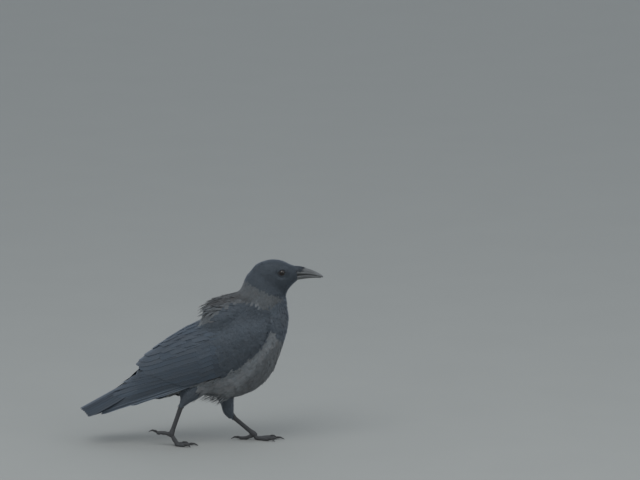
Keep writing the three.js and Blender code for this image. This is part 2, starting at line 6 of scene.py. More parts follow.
import sys
import logging
import math
from contextlib import contextmanager
from dataclasses import dataclass
from enum import Enum
from typing import Callable, Iterable, Iterator, Sequence

import bpy
import numpy as np
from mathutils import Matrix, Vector
from mathutils.bvhtree import BVHTree
from mathutils.kdtree import KDTree


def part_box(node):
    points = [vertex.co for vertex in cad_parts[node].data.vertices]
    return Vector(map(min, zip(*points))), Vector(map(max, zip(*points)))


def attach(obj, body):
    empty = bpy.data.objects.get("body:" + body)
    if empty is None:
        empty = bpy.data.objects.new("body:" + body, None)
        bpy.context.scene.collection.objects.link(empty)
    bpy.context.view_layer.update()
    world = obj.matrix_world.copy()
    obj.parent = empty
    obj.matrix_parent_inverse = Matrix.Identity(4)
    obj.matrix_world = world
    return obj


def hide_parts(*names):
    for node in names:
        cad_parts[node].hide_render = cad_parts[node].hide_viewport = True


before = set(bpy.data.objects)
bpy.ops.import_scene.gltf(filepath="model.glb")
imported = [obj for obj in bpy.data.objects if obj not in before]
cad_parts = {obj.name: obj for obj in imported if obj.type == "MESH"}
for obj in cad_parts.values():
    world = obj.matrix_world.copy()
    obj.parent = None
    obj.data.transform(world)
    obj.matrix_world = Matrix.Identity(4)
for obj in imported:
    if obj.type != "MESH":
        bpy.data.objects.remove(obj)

log = logging.getLogger("crow")

MM = 0.001
BILL_TIP_X = 206.5
SHIFT_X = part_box("bill_upper")[1].x / MM - BILL_TIP_X
BODY = "root"

Piece = bpy.types.Object
Material = bpy.types.Material
Socket = bpy.types.NodeSocket
Array = np.ndarray
Chooser = Callable[[Array], Array]
Pair = tuple[float, float]
Triple = tuple[float, float, float]


def to_frame(points: Array) -> Array:
    """Points in the bird's millimetres, as metres in the frame."""
    return (np.asarray(points, float) + (SHIFT_X, 0.0, 0.0)) * MM


def to_bird(points: Array) -> Array:
    """Points in the frame's metres, as the bird's millimetres."""
    return np.asarray(points, float) / MM - (SHIFT_X, 0.0, 0.0)


def unit(vectors: Array) -> Array:
    """The vectors at length one, along the last axis."""
    return vectors / np.maximum(np.linalg.norm(vectors, axis=-1, keepdims=True), 1e-9)


def across(vectors: Array, normals: Array) -> Array:
    """The vectors laid flat on the surface that the normals stand on, at length one."""
    return unit(vectors - (vectors * normals).sum(-1, keepdims=True) * normals)


def ease(value: Array, low: float, high: float) -> Array:
    """0 below low, 1 above high, and a smooth rise between them."""
    t = np.clip((np.asarray(value, float) - low) / (high - low), 0.0, 1.0)
    return t * t * (3.0 - 2.0 * t)


def even(first: float, last: float, share: float) -> float:
    """The value at a share of the way from first to last."""
    return first + (last - first) * share


def fetch(items: Sequence, name: str, size: int = 1, kind: type = np.float32) -> Array:
    """Reads one value of every element of a mesh.

    Args:
        items: The elements.
        name: Blender's name for the value.
        size: How many numbers it has.
        kind: The kind of number.

    Returns:
        The values, in rows if they have several numbers.
    """
    flat = np.empty(len(items) * size, kind)
    items.foreach_get(name, flat)
    return flat if size == 1 else flat.reshape(-1, size)


class Side(Enum):
    """The two sides of the bird, with the sign of Y there."""

    LEFT = 1
    RIGHT = -1

    @property
    def word(self) -> str:
        """The side's word, as the solids' names have it."""
        return self.name.lower()


class Slot(Enum):
    """The record's finishes."""

    HOOD = "hood_black"
    GREY = "dusky_grey"
    FLIGHT = "flight_black"
    THIGH = "thigh_black"
    BILL = "bill_horn"
    EYE = "eye_gloss"
    CLAW = "claw_horn"


# ---------------------------------------------------------------- the bench


class Bench:
    """Blender's operators, in the few ways that the bird's pieces use them."""

    @staticmethod
    def clear() -> None:
        """Leaves nothing selected."""
        bpy.ops.object.select_all(action="DESELECT")

    @classmethod
    def grab(cls, piece: Piece) -> None:
        """Selects one piece alone and makes it the active one.

        Args:
            piece: The object to work on.
        """
        cls.clear()
        piece.select_set(True)
        bpy.context.view_layer.objects.active = piece

    @classmethod
    @contextmanager
    def editing(cls, piece: Piece) -> Iterator[None]:
        """Opens a piece in edit mode with all of it selected, and closes it afterwards.

        Args:
            piece: The piece to work on.

        Returns:
            The time that it is open for.
        """
        cls.grab(piece)
        bpy.ops.object.mode_set(mode="EDIT")
        bpy.ops.mesh.select_all(action="SELECT")
        yield
        bpy.ops.object.mode_set(mode="OBJECT")

    @classmethod
    def modify(cls, piece: Piece, kind: str, **settings: object) -> None:
        """Adds a modifier to a piece and applies it.

        Args:
            piece: The object to change.
            kind: Blender's name for the modifier.
            **settings: The modifier's own values.
        """
        cls.grab(piece)
        bpy.ops.object.modifier_add(type=kind)
        modifier = piece.modifiers[-1]
        for name, value in settings.items():
            setattr(modifier, name, value)
        bpy.ops.object.modifier_apply(modifier=modifier.name)

    @classmethod
    def merged_copy(cls, node: str) -> Piece:
        """Copies a solid of the frame and welds its loose triangles.

        Args:
            node: The solid's name.

        Returns:
            The welded copy, with no finish.
        """
        piece = bpy.data.objects.new(f"copy_{node}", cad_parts[node].data.copy())
        piece.data.materials.clear()
        bpy.context.scene.collection.objects.link(piece)
        with cls.editing(piece):
            bpy.ops.mesh.remove_doubles(threshold=1e-6)
        return piece

    @classmethod
    def joined(cls, pieces: Sequence[Piece], name: str) -> Piece:
        """Joins several pieces into one.

        Args:
            pieces: The pieces, the first of which is kept.
            name: The name of the whole.

        Returns:
            The joined piece.
        """
        cls.grab(pieces[0])
        for piece in pieces[1:]:
            piece.select_set(True)
        if len(pieces) > 1:
            bpy.ops.object.join()
        pieces[0].name = pieces[0].data.name = name
        return pieces[0]

    @classmethod
    def flesh(
        cls, nodes: Sequence[str], name: str, voxel: float, swell: float, rounds: int, fill: float = 0.0
    ) -> Piece:
        """Melts copies of several solids into one smooth closed form.

        Args:
            nodes: The solids.
            name: The name of the new piece.
            voxel: The grain of the new surface, in millimetres.
            swell: How far each copy grows first, so that gaps close.
            rounds: How many times the surface is smoothed.
            fill: How far it grows and shrinks back, to fill creases.

        Returns:
            The new piece.
        """
        copies = []
        for node in nodes:
            copies.append(cls.merged_copy(node))
            cls.modify(copies[-1], "DISPLACE", strength=swell * MM, mid_level=0.0)
        whole = cls.joined(copies, name)
        cls.modify(whole, "REMESH", mode="VOXEL", voxel_size=voxel * MM)
        if fill:
            cls.modify(whole, "SMOOTH", factor=0.5, iterations=4)
            cls.modify(whole, "DISPLACE", strength=fill * MM, mid_level=0.0)
            cls.modify(whole, "REMESH", mode="VOXEL", voxel_size=voxel * MM)
            cls.modify(whole, "SMOOTH", factor=0.5, iterations=4)
            cls.modify(whole, "DISPLACE", strength=-fill * MM, mid_level=0.0)
        cls.modify(whole, "SMOOTH", factor=0.5, iterations=rounds)
        return whole

    @staticmethod
    def points(piece: Piece) -> Array:
        """The vertices of a piece, in the bird's millimetres."""
        return to_bird(fetch(piece.data.vertices, "co", 3))

    @staticmethod
    def normals(piece: Piece) -> Array:
        """The normals at the vertices of a piece."""
        return fetch(piece.data.vertices, "normal", 3).astype(float)

    @staticmethod
    def triangles(piece: Piece) -> Array:
        """The triangles of a piece, by the numbers of their vertices."""
        piece.data.calc_loop_triangles()
        return fetch(piece.data.loop_triangles, "vertices", 3, np.int32)

    @classmethod
    def shade(cls, piece: Piece) -> None:
        """Shades a piece smoothly."""
        cls.grab(piece)
        bpy.ops.object.shade_smooth()

    @staticmethod
    def move(piece: Piece, points: Array) -> None:
        """Puts the vertices of a piece at new places, in the bird's millimetres."""
        piece.data.vertices.foreach_set("co", to_frame(points).astype(np.float32).ravel())
        piece.data.update()

    @staticmethod
    def note(piece: Piece, name: str, values: Array) -> None:
        """Writes one number for each vertex, which the finishes read by its name.

        Args:
            piece: The piece to write on.
            name: The name of the attribute.
            values: One value for each vertex.
        """
        attributes = piece.data.attributes
        found = attributes.get(name) or attributes.new(name, "FLOAT", "POINT")
        found.data.foreach_set("value", np.asarray(values, np.float32))

    @classmethod
    def dress(
        cls, piece: Piece, finishes: Sequence[Material], slot: Slot, replaces: Sequence[str] = ()
    ) -> None:
        """Gives a finished piece its materials and its place in the frame.

        Args:
            piece: The piece.
            finishes: Its materials, in the order of its faces' numbers.
            slot: The record's finish; not used.
            replaces: The solids that it stands for.
        """
        for finish in finishes:
            piece.data.materials.append(finish)
        if replaces:
            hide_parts(*replaces)
        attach(piece, BODY)
        log.info("%s: %d faces", piece.name, len(piece.data.polygons))


@dataclass
class Pattern:
    """One small closed shape that is laid many times over.

    Its points are (u, v, w): along it from root to tip, across it, and out of it.
    """

    points: Array
    corners: Array
    starts: Array
    ring: int

    @classmethod
    def extruded(cls, rings: Array) -> "Pattern":
        """Extrudes a filled ring row by row, and then sets each row in its place.

        Args:
            rings: The rows' points, an array of rows by points of a ring by 3.

        Returns:
            The pattern, its points in the order of the rows.
        """
        rows, count = rings.shape[:2]
        Bench.clear()
        bpy.ops.mesh.primitive_circle_add(
            vertices=count, radius=1.0, fill_type="NGON", location=(0.0, 0.0, 0.0)
        )
        piece = bpy.context.active_object
        with Bench.editing(piece):
            for _ in range(rows - 1):
                bpy.ops.mesh.extrude_region_move(TRANSFORM_OT_translate={"value": (0.0, 0.0, 1.0)})
            bpy.ops.mesh.select_all(action="SELECT")
            bpy.ops.mesh.normals_make_consistent(inside=False)
        co = fetch(piece.data.vertices, "co", 3)
        row = np.rint(co[:, 2]).astype(int)
        turn = np.rint(np.arctan2(co[:, 1], co[:, 0]) / (2 * math.pi / count))
        place = row * count + turn.astype(int) % count
        corners = place[fetch(piece.data.loops, "vertex_index", 1, np.int32)]
        starts = fetch(piece.data.polygons, "loop_start", 1, np.int32)
        bpy.data.objects.remove(piece)
        return cls(rings.reshape(-1, 3), corners, starts, count)

    @property
    def rows(self) -> int:
        """How many rows the pattern has."""
        return len(self.points) // self.ring


@dataclass
class Swatch:
    """Many laid copies of one pattern, which become one mesh.

    Attributes:
        pattern: Their shape.
        points: The copies' points, copies by points by 3.
        patches: The copies' places on the bake's map.
        vane: The points' places on the vane's map.
        notes: Numbers for the points, each copies by points.
        finish: The number of each copy's finish.
        patch: The size of each copy's place on the bake's map.
    """

    pattern: Pattern
    points: Array
    patches: Array
    vane: Array
    notes: dict[str, Array]
    finish: Array
    patch: float = 0.0026

    def corner_order(self) -> Array:
        """The order of the pattern's corners in which the laid faces point outwards.

        Returns:
            The numbers of the pattern's corners, face by face.
        """
        ends = np.append(self.pattern.starts[1:], len(self.pattern.corners))
        sample = self.points[:: max(1, len(self.points) // 40)].astype(float)
        sample = sample - sample.mean(1, keepdims=True)
        volume, order = 0.0, []
        for first, last in zip(self.pattern.starts, ends):
            ring = sample[:, self.pattern.corners[first:last]]
            for i in range(1, last - first - 1):
                spread = np.cross(ring[:, i], ring[:, i + 1])
                volume += float((ring[:, 0] * spread).sum())
            order.append(np.arange(first, last)[::-1])
        if volume >= 0.0:
            return np.arange(len(self.pattern.corners))
        return np.concatenate(order)


def joined_mesh(name: str, swatches: Sequence[Swatch]) -> Piece:
    """Joins laid patterns into one object.

    Args:
        name: The object's name.
        swatches: What it is made of, at least one of them.

    Returns:
        The new object, at the origin.
    """
    points, corners, starts, finish, bake, vane, sharp = [], [], [], [], [], [], []
    notes: dict[str, list[Array]] = {key: [] for key in swatches[0].notes}
    first_point = first_corner = 0
    for swatch in swatches:
        shape = swatch.pattern
        copies, count = swatch.points.shape[:2]
        steps = np.arange(copies)
        points.append(swatch.points.reshape(-1, 3))
        order = swatch.corner_order()
        every = shape.corners[order][None] + first_point + steps[:, None] * count
        corners.append(every.ravel())
        size = len(shape.corners)
        starts.append((shape.starts[None] + first_corner + steps[:, None] * size).ravel())
        finish.append(np.repeat(swatch.finish, len(shape.starts)))
        flat = shape.points[shape.corners[order]]
        spot = np.stack([flat[:, 1] * 0.5, flat[:, 0] - 0.5], 1) * swatch.patch
        bake.append((swatch.patches[:, None] + spot[None]).reshape(-1, 2))
        vane.append(swatch.vane[:, shape.corners[order]].reshape(-1, 2))
        for key, values in notes.items():
            values.append(swatch.notes[key].ravel())
        edge = np.zeros(shape.ring, bool)
        edge[0] = True
        edge[-1 if shape.ring == 3 else shape.ring - 2] = True
        sharp.append(np.tile(np.where(edge, np.arange(shape.ring), -1), copies * shape.rows))
        first_point += copies * count
        first_corner += copies * size
    mesh = bpy.data.meshes.new(name)
    placed = to_frame(np.concatenate(points)).astype(np.float32)
    mesh.vertices.add(len(placed))
    mesh.vertices.foreach_set("co", placed.ravel())
    loops = np.concatenate(corners).astype(np.int32)
    mesh.loops.add(len(loops))
    mesh.loops.foreach_set("vertex_index", loops)
    begin = np.concatenate(starts).astype(np.int32)
    mesh.polygons.add(len(begin))
    mesh.polygons.foreach_set("loop_start", begin)
    mesh.polygons.foreach_set("material_index", np.concatenate(finish).astype(np.int32))
    mesh.update(calc_edges=True)
    mesh.polygons.foreach_set("use_smooth", np.ones(len(begin), bool))
    lane = np.concatenate(sharp)[fetch(mesh.edges, "vertices", 2, np.int32)]
    keen = (lane[:, 0] >= 0) & (lane[:, 0] == lane[:, 1])
    mesh.attributes.new("sharp_edge", "BOOLEAN", "EDGE").data.foreach_set("value", keen)
    for layer, values in (("OFBake", bake), ("vane", vane)):
        uv = mesh.uv_layers.new(name=layer)
        uv.data.foreach_set("uv", np.concatenate(values).astype(np.float32).ravel())
    piece = bpy.data.objects.new(name, mesh)
    bpy.context.scene.collection.objects.link(piece)
    for key, values in notes.items():
        Bench.note(piece, key, np.concatenate(values))
    return piece


# ------------------------------------------------------------------ finishes


class Shader:
    """A material's nodes, as the finishes below put them together."""

    def __init__(self, name: str, **sockets: object) -> None:
        """Starts a material.

        Args:
            name: The material's name.
            **sockets: Values of the main shader that are the same all over it.
        """
        self.material = bpy.data.materials.new(name)
        self.material.use_nodes = True
        self.tree = self.material.node_tree
        self.body = self.tree.nodes["Principled BSDF"]
        for key, value in sockets.items():
            self.put(self.body.inputs[key.replace("_", " ")], value)

    def add(self, kind: str, *inputs: object, **settings: object) -> bpy.types.Node:
        """Adds a node and fills its sockets.

        Args:
            kind: The node's kind, without the words that all kinds share.
            *inputs: A socket or value for each input in turn, or None to leave it.
            **settings: The node's own settings.

        Returns:
            The node.
        """
        node = self.tree.nodes.new(f"ShaderNode{kind}")
        for key, value in settings.items():
            setattr(node, key, value)
        for socket, value in zip(node.inputs, inputs):
            self.put(socket, value)
        return node

    def put(self, socket: Socket, value: object) -> None:
        """Links a node or socket to an input, or sets its value.

        Args:
            socket: The input.
            value: A node, a socket, a number or a colour, or None to leave it.
        """
        if value is None:
            return
        if isinstance(value, bpy.types.Node):
            value = value.outputs[0]
        if isinstance(value, Socket):
            self.tree.links.new(value, socket)
        elif socket.type == "RGBA":
            socket.default_value = (*value, 1.0)
        else:
            socket.default_value = value

    def maths(self, operation: str, *inputs: object) -> Socket:
        """The result of one sum on one to three values."""
        return self.add("Math", *inputs, operation=operation).outputs[0]

    def read(self, name: str) -> Socket:
        """A number that was written on the vertices."""
        node = self.add("Attribute", attribute_name=name)
        return node.outputs["Fac"]

    def noise(self, size: float, stretch: Triple = (1.0, 1.0, 1.0), detail: float = 3.0) -> Socket:
        """A cloudy pattern that is fixed to the object.

        Args:
            size: How many clouds there are to a metre.
            stretch: How much finer the pattern is along each axis.
            detail: How many finer octaves it has.

        Returns:
            The pattern's strength, 0 to 1.
        """
        spot = self.add("TexCoord").outputs["Object"]
        place = self.add("Mapping", spot)
        place.inputs["Scale"].default_value = stretch
        cloud = self.add("TexNoise")
        self.put(cloud.inputs["Vector"], place)
        cloud.inputs["Scale"].default_value = size
        cloud.inputs["Detail"].default_value = detail
        return cloud.outputs["Fac"]

    def spread(self, value: object, low: float, high: float, bottom: float, top: float) -> Socket:
        """A value moved from one span to another, and kept inside it."""
        node = self.add("MapRange", value, low, high, bottom, top, clamp=True)
        return node.outputs[0]

    def cloudy(self, cloud: object, bottom: float, top: float) -> Socket:
        """A cloudy pattern's usual span, moved to another."""
        return self.spread(cloud, 0.3, 0.7, bottom, top)

    def mix(self, share: object, first: object, second: object) -> Socket:
        """Mixes two colours.

        Args:
            share: The second colour's share.
            first: The first colour.
            second: The second colour.

        Returns:
            The mixed colour.
        """
        node = self.add("Mix", data_type="RGBA")
        self.put(node.inputs["Factor"], share)
        self.put(node.inputs["A"], first)
        self.put(node.inputs["B"], second)
        return node.outputs["Result"]

    def scale(self, colour: object, amount: object) -> Socket:
        """A colour made brighter or darker by an amount."""
        node = self.add("VectorMath", colour, None, None, amount, operation="SCALE")
        return node.outputs[0]

    def bump(self, height: object, depth: float, strength: float = 1.0) -> None:
        """Roughens the surface.

        Args:
            height: The pattern of its relief.
            depth: The relief's depth, in millimetres.
            strength: How much of it shows.
        """
        node = self.add("Bump")
        node.inputs["Strength"].default_value = strength
        node.inputs["Distance"].default_value = depth * MM
        self.put(node.inputs["Height"], height)
        self.put(self.body.inputs["Normal"], node)

    def finish(self, colour: object, rough: object = None) -> Material:
        """Links the colour and roughness.

        Args:
            colour: The surface's colour.
            rough: How dull it is.

        Returns:
            The material.
        """
        self.put(self.body.inputs["Base Color"], colour)
        self.put(self.body.inputs["Roughness"], rough)
        return self.material


@dataclass(frozen=True)
class FeatherFinish:
    """Barbs on a shaft, in one colour that each feather varies.

    Attributes:
        name: The material's name.
        cool: The clean colour, for a tone of 1.
        warm: The worn or brown colour, for a tone of 1.
        roughness: How dull the vane is.
        sheen: How much soft light it scatters.
        sheen_tint: That light's colour.
        gloss_tint: Its gloss's colour.
        fringe: How much paler its rim is.
        shaft: How much darker its middle is.
        hem: Where the rim starts, as a share of the half width.
    """

    name: str
    cool: Triple
    warm: Triple
    roughness: float
    sheen: float
    sheen_tint: Triple
    gloss_tint: Triple
    fringe: float
    shaft: float
    hem: float = 0.6

    def material(self) -> Material:
        """Makes the material.

        Returns:
            The new material.
        """
        s = Shader(
            self.name,
            Sheen_Weight=self.sheen,
            Sheen_Roughness=0.45,
            Sheen_Tint=self.sheen_tint,
            Specular_Tint=self.gloss_tint,
        )
        vane = s.add("UVMap", uv_map="vane")
        split = s.add("SeparateXYZ", vane)
        side = s.maths("ABSOLUTE", split.outputs[0])
        barb = s.add("CombineXYZ", s.maths("SUBTRACT", split.outputs[1], side), side)
        ribs = s.add("TexWave", barb, wave_type="BANDS", bands_direction="X", wave_profile="SIN")
        ribs.inputs["Scale"].default_value = 0.9
        ribs.inputs["Distortion"].default_value = 2.2
        ribs.inputs["Detail"].default_value = 2.0
        lines = ribs.outputs["Fac"]
        tone = s.read("tone")
        rim = s.spread(s.read("fringe"), self.hem, 1.0, 0.0, self.fringe)
        shaft = s.spread(side, 0.2, 0.6, self.shaft, 0.0)
        level = s.maths("MULTIPLY_ADD", lines, 0.16, 0.92)
        level = s.maths("ADD", level, rim)
        level = s.maths("SUBTRACT", level, shaft)
        cloud = s.spread(s.noise(90.0), 0.35, 0.65, -0.12, 0.12)
        brown = s.maths("ADD", s.read("warmth"), cloud)
        colour = s.mix(brown, self.cool, self.warm)
        colour = s.scale(colour, s.maths("MULTIPLY", tone, level))
        rough = s.maths("MULTIPLY_ADD", lines, 0.1, self.roughness - 0.05)
        s.bump(lines, 0.12, 0.55)
        return s.finish(colour, rough)


@dataclass(frozen=True)
class SkinFinish:
    """The skin under the plumage, with the down's shade of the feathers over it."""

    name: str = "skin_down"
    grey: Triple = (0.86, 0.95, 1.05)
    black: Triple = (0.017, 0.019, 0.023)

    def material(self) -> Material:
        """Makes the material.

        Returns:
            The new material.
        """
        s = Shader(self.name, Sheen_Weight=0.12, Sheen_Roughness=0.6)
        fluff = s.noise(900.0, detail=4.0)
        grey = s.scale(self.grey, s.maths("MULTIPLY", s.read("tone"), 0.8))
        colour = s.mix(s.read("black"), grey, self.black)
        colour = s.scale(colour, s.cloudy(fluff, 0.8, 1.2))
        s.bump(fluff, 0.6, 0.8)
        return s.finish(colour, s.cloudy(fluff, 0.75, 0.9))


@dataclass(frozen=True)
class ScaleFinish:
    """The horny skin of the shanks and toes."""

    name: str = "leg_scales"
    plate: Triple = (0.042, 0.043, 0.046)
    crease: Triple = (0.013, 0.013, 0.014)

    def material(self) -> Material:
        """Makes the material.

        Returns:
            The new material.
        """
        s = Shader(self.name, Coat_Weight=0.05, Coat_Roughness=0.4)
        grain = s.noise(1400.0, detail=5.0)
        net = s.add("TexVoronoi", feature="DISTANCE_TO_EDGE")
        s.put(net.inputs["Vector"], s.add("TexCoord").outputs["Object"])
        net.inputs["Scale"].default_value = 900.0
        cell = s.spread(net.outputs["Distance"], 0.0, 0.12, 0.0, 1.0)
        relief = s.read("plate")
        shade = s.maths("MULTIPLY_ADD", relief, 0.75, 0.25)
        shade = s.maths("MULTIPLY", shade, s.maths("MULTIPLY_ADD", cell, 0.25, 0.75))
        colour = s.mix(shade, self.crease, self.plate)
        colour = s.scale(colour, s.cloudy(grain, 0.85, 1.15))
        s.bump(s.maths("MULTIPLY_ADD", grain, 0.35, cell), 0.12, 0.7)
        return s.finish(colour, s.spread(shade, 0.0, 1.0, 0.75, 0.5))


@dataclass(frozen=True)
class HornFinish:
    """Horn that is grained along its length and paler where worn, with a painted highlight along the bill's
    top ridge.
    """

    name: str
    body: Triple
    # The paler colour, of wear and, on the bill's ridge, of the painted highlight.
    worn: Triple
    roughness: float
    grain: Triple

    def material(self) -> Material:
        """Makes the material.

        Returns:
            The new material.
        """
        s = Shader(self.name, Coat_Weight=0.12, Coat_Roughness=0.3)
        grain = s.noise(260.0, self.grain, 5.0)
        cloud = s.noise(70.0, detail=2.0)
        # Mixes towards the paler colour by wear and, on the bill's ridge, by the painted highlight.
        wear_and_highlight = s.maths("ADD", s.read("wear_and_highlight"), s.cloudy(grain, -0.15, 0.2))
        colour = s.mix(wear_and_highlight, self.body, self.worn)
        colour = s.scale(colour, s.cloudy(cloud, 0.85, 1.15))
        s.bump(grain, 0.1, 0.5)
        low, high = self.roughness - 0.07, self.roughness + 0.1
        return s.finish(colour, s.cloudy(grain, low, high))


@dataclass(frozen=True)
class EyeFinish:
    """A dark brown iris round a black pupil, under a wet cornea."""

    name: str = "eye_wet"
    pupil: Triple = (0.002, 0.002, 0.002)
    iris: Triple = (0.014, 0.007, 0.004)
    rim: Triple = (0.006, 0.004, 0.003)

    def material(self) -> Material:
        """Makes the material.

        Returns:
            The new material.
        """
        s = Shader(self.name, Coat_Weight=0.55, Coat_Roughness=0.04, Specular_IOR_Level=0.2)
        out = s.read("from_axis")
        strands = s.noise(2500.0, detail=4.0)
        iris = s.scale(self.iris, s.cloudy(strands, 0.6, 1.5))
        colour = s.mix(s.spread(out, 0.40, 0.46, 0.0, 1.0), self.pupil, iris)
        colour = s.mix(s.spread(out, 0.72, 0.9, 0.0, 1.0), colour, self.rim)
        s.bump(strands, 0.02, 0.2)
        return s.finish(colour, s.cloudy(strands, 0.12, 0.2))


@dataclass(frozen=True)
class PlainFinish:
    """One colour, finely mottled.

    Attributes:
        name: The material's name.
        colour: Its colour.
        clouds: How many clouds of the mottle there are to a metre.
        shade: How dark and how light they make it.
        rough: How dull they make it, from and to.
        relief: How deep they are, in millimetres.
    """

    name: str
    colour: Triple
    clouds: float
    shade: Pair
    rough: Pair
    relief: float = 0.0

    def material(self) -> Material:
        """Makes the material.

        Returns:
            The new material.
        """
        s = Shader(self.name)
        grain = s.noise(self.clouds, detail=4.0)
        if self.relief:
            s.bump(grain, self.relief, 0.8)
        colour = s.scale(self.colour, s.cloudy(grain, *self.shade))
        return s.finish(colour, s.cloudy(grain, *self.rough))


class Finishes:
    """Every material of the bird, each made once."""

    def __init__(self) -> None:
        """Makes the materials."""
        blue = (0.72, 0.86, 1.0)
        self.black = FeatherFinish(
            "plume_black", (0.85, 1.0, 1.16), (1.06, 0.98, 0.97), 0.5, 0.22,
            (0.55, 0.72, 1.0), blue, 0.10, 0.12,
        ).material()
        self.grey = FeatherFinish(
            "plume_grey", (0.90, 1.0, 1.07), (1.08, 0.98, 0.94), 0.75, 0.2,
            (0.9, 0.95, 1.0), (0.95, 0.98, 1.0), 0.12, 0.15,
        ).material()
        self.flight = FeatherFinish(
            "plume_flight", (0.78, 1.0, 1.27), (1.0, 0.98, 1.0), 0.46, 0.2,
            (0.5, 0.7, 1.0), blue, 0.3, 0.3, 0.86,
        ).material()
        self.skin = SkinFinish().material()
        self.scales = ScaleFinish().material()
        self.bill = HornFinish(
            "bill_horn", (0.058, 0.062, 0.066), (0.14, 0.146, 0.148), 0.52, (0.25, 2.0, 1.0)
        ).material()
        self.claw = HornFinish(
            "claw_horn", (0.02, 0.02, 0.021), (0.05, 0.05, 0.05), 0.35, (0.6, 1.5, 1.0)
        ).material()
        self.eye = EyeFinish().material()
        self.lid = PlainFinish(
            "lid_skin", (0.02, 0.02, 0.023), 2200.0, (0.6, 1.5), (0.4, 0.6), 0.08
        ).material()
        self.floor = PlainFinish(
            "studio_floor", (0.33, 0.335, 0.32), 6.0, (0.985, 1.015), (0.85, 0.92)
        ).material()


# --------------------------------------------------------- the coat's plan


@dataclass(frozen=True)
class Tract:
    """What the feathers are like at one place of the body.

    Attributes:
        place: A point on the coat, on the left side or the middle.
        lie: The way the feathers point there.
        length: How long they are.
        width: How wide they are.
        depth: How deep the coat is.
        lift: How far their tips stand off it.
    """

    place: Triple
    lie: Triple
    length: float
    width: float
    depth: float
    lift: float = 0.0


BODY_TRACTS: dict[str, Tract] = {
    "forehead": Tract((160, 3, 306), (-1, 0, 0.3), 4.2, 2.4, 0.8),
    "crown": Tract((125, 5, 318), (-1, 0, 0), 6, 3.6, 1.0),
    "rear crown": Tract((98, 5, 312), (-0.8, 0, -0.6), 7.5, 4.2, 1.2),
    "lore": Tract((152, 10, 293), (-1, 0.25, 0), 3.6, 2.2, 0.7),
    "brow": Tract((137, 18, 306), (-1, 0, 0.1), 3.8, 2.4, 0.8),
    "under eye": Tract((137, 20, 287), (-1, 0, -0.1), 4.4, 2.6, 0.8),
    "cheek": Tract((122, 20, 284), (-0.9, 0, -0.35), 7, 3.8, 1.1),
    "chin": Tract((158, 3, 279), (-0.9, 0, -0.3), 5, 2.8, 0.9),
    "throat": Tract((140, 6, 256), (-0.2, 0, -1), 11, 3.6, 1.6, 0.5),
    "side throat": Tract((125, 18, 262), (-0.5, 0, -0.85), 8, 4.2, 1.3),
    "nape": Tract((78, 6, 285), (-0.4, 0, -0.92), 9.5, 6, 2.0),
    "side nape": Tract((92, 18, 285), (-0.6, 0, -0.8), 8.5, 5, 1.4),
    "hind neck": Tract((70, 10, 268), (-0.45, 0, -0.9), 12, 8, 2.2),
    "side neck": Tract((108, 27, 250), (-0.35, 0, -0.93), 11.5, 7.5, 2.3),
    "fore neck": Tract((150, 5, 225), (0, 0, -1), 16, 5.5, 2.6, 0.8),
    "bib side": Tract((130, 28, 222), (-0.2, 0, -1), 15, 8.5, 2.6),
    "breast": Tract((148, 6, 195), (-0.15, 0, -1), 17, 9.5, 3.0, 0.3),
    "breast side": Tract((128, 35, 185), (-0.4, 0, -0.9), 18, 11, 2.9),
    "low breast": Tract((132, 6, 150), (-0.45, 0, -0.9), 18, 11, 3.0, 0.4),
    "low breast side": Tract((112, 38, 140), (-0.7, 0, -0.7), 20, 12, 3.0),
    "fore belly": Tract((112, 6, 110), (-0.75, 0, -0.65), 18, 11, 3.0, 0.5),
    "belly": Tract((60, 6, 80), (-1, 0, -0.05), 18, 10, 3.2, 0.8),
    "flank": Tract((70, 45, 120), (-0.85, 0, -0.5), 22, 13, 3.0, 0.3),
    "rear flank": Tract((10, 42, 110), (-0.9, 0, -0.4), 22, 13, 3.0, 0.3),
    "rear belly": Tract((0, 6, 84), (-1, 0, 0), 18, 11, 3.2, 0.6),
    "vent": Tract((-60, 6, 79), (-0.95, 0, 0.15), 22, 12, 3.0, 1.5),
    "undertail": Tract((-95, 5, 88), (-0.9, 0, -0.4), 26, 13, 3.0, 1.5),
    "upper back": Tract((66, 6, 262), (-0.9, 0, -0.4), 13, 9, 2.4, 0.3),
    "mantle": Tract((45, 6, 256), (-0.95, 0, -0.3), 20, 11, 2.6, 0.9),
    "mantle side": Tract((45, 38, 235), (-0.9, 0.1, -0.45), 20, 12, 2.2, 0.4),
    "mantle rear": Tract((14, 6, 241), (-0.85, 0, -0.5), 24, 12, 2.6, 1.2),
    "lower back": Tract((0, 6, 208), (-0.8, 0, -0.6), 18, 11, 2.8),
    "rump": Tract((-45, 6, 181), (-0.82, 0, -0.57), 20, 12, 2.8),
    "uppertail": Tract((-85, 6, 149), (-0.8, 0, -0.6), 30, 14, 2.6, 1.0),
    "shoulder": Tract((85, 38, 222), (-0.7, 0, -0.7), 14, 10, 2.0),
    "wing bend": Tract((108, 46, 205), (-0.9, 0, -0.45), 8, 6.5, 1.6),
    "wing": Tract((60, 56, 190), (-0.89, 0, -0.46), 12, 9.5, 1.7),
    "low wing": Tract((60, 50, 150), (-0.89, 0, -0.46), 12, 9.5, 1.7),
    "rear wing": Tract((10, 56, 170), (-0.89, 0, -0.46), 15, 12, 1.8),
    "scapular": Tract((10, 20, 215), (-0.9, 0, -0.45), 22, 13, 2.2),
}

RIGHT_THIGH_TRACTS: dict[str, Tract] = {
    "drumstick": Tract((-5, -27, 105), (-0.6, 0, -0.8), 12, 6.5, 2.2, 0.3),
    "drumstick end": Tract((-30, -27, 80), (-0.4, 0, -0.9), 8, 4.2, 1.5, 0.2),
}

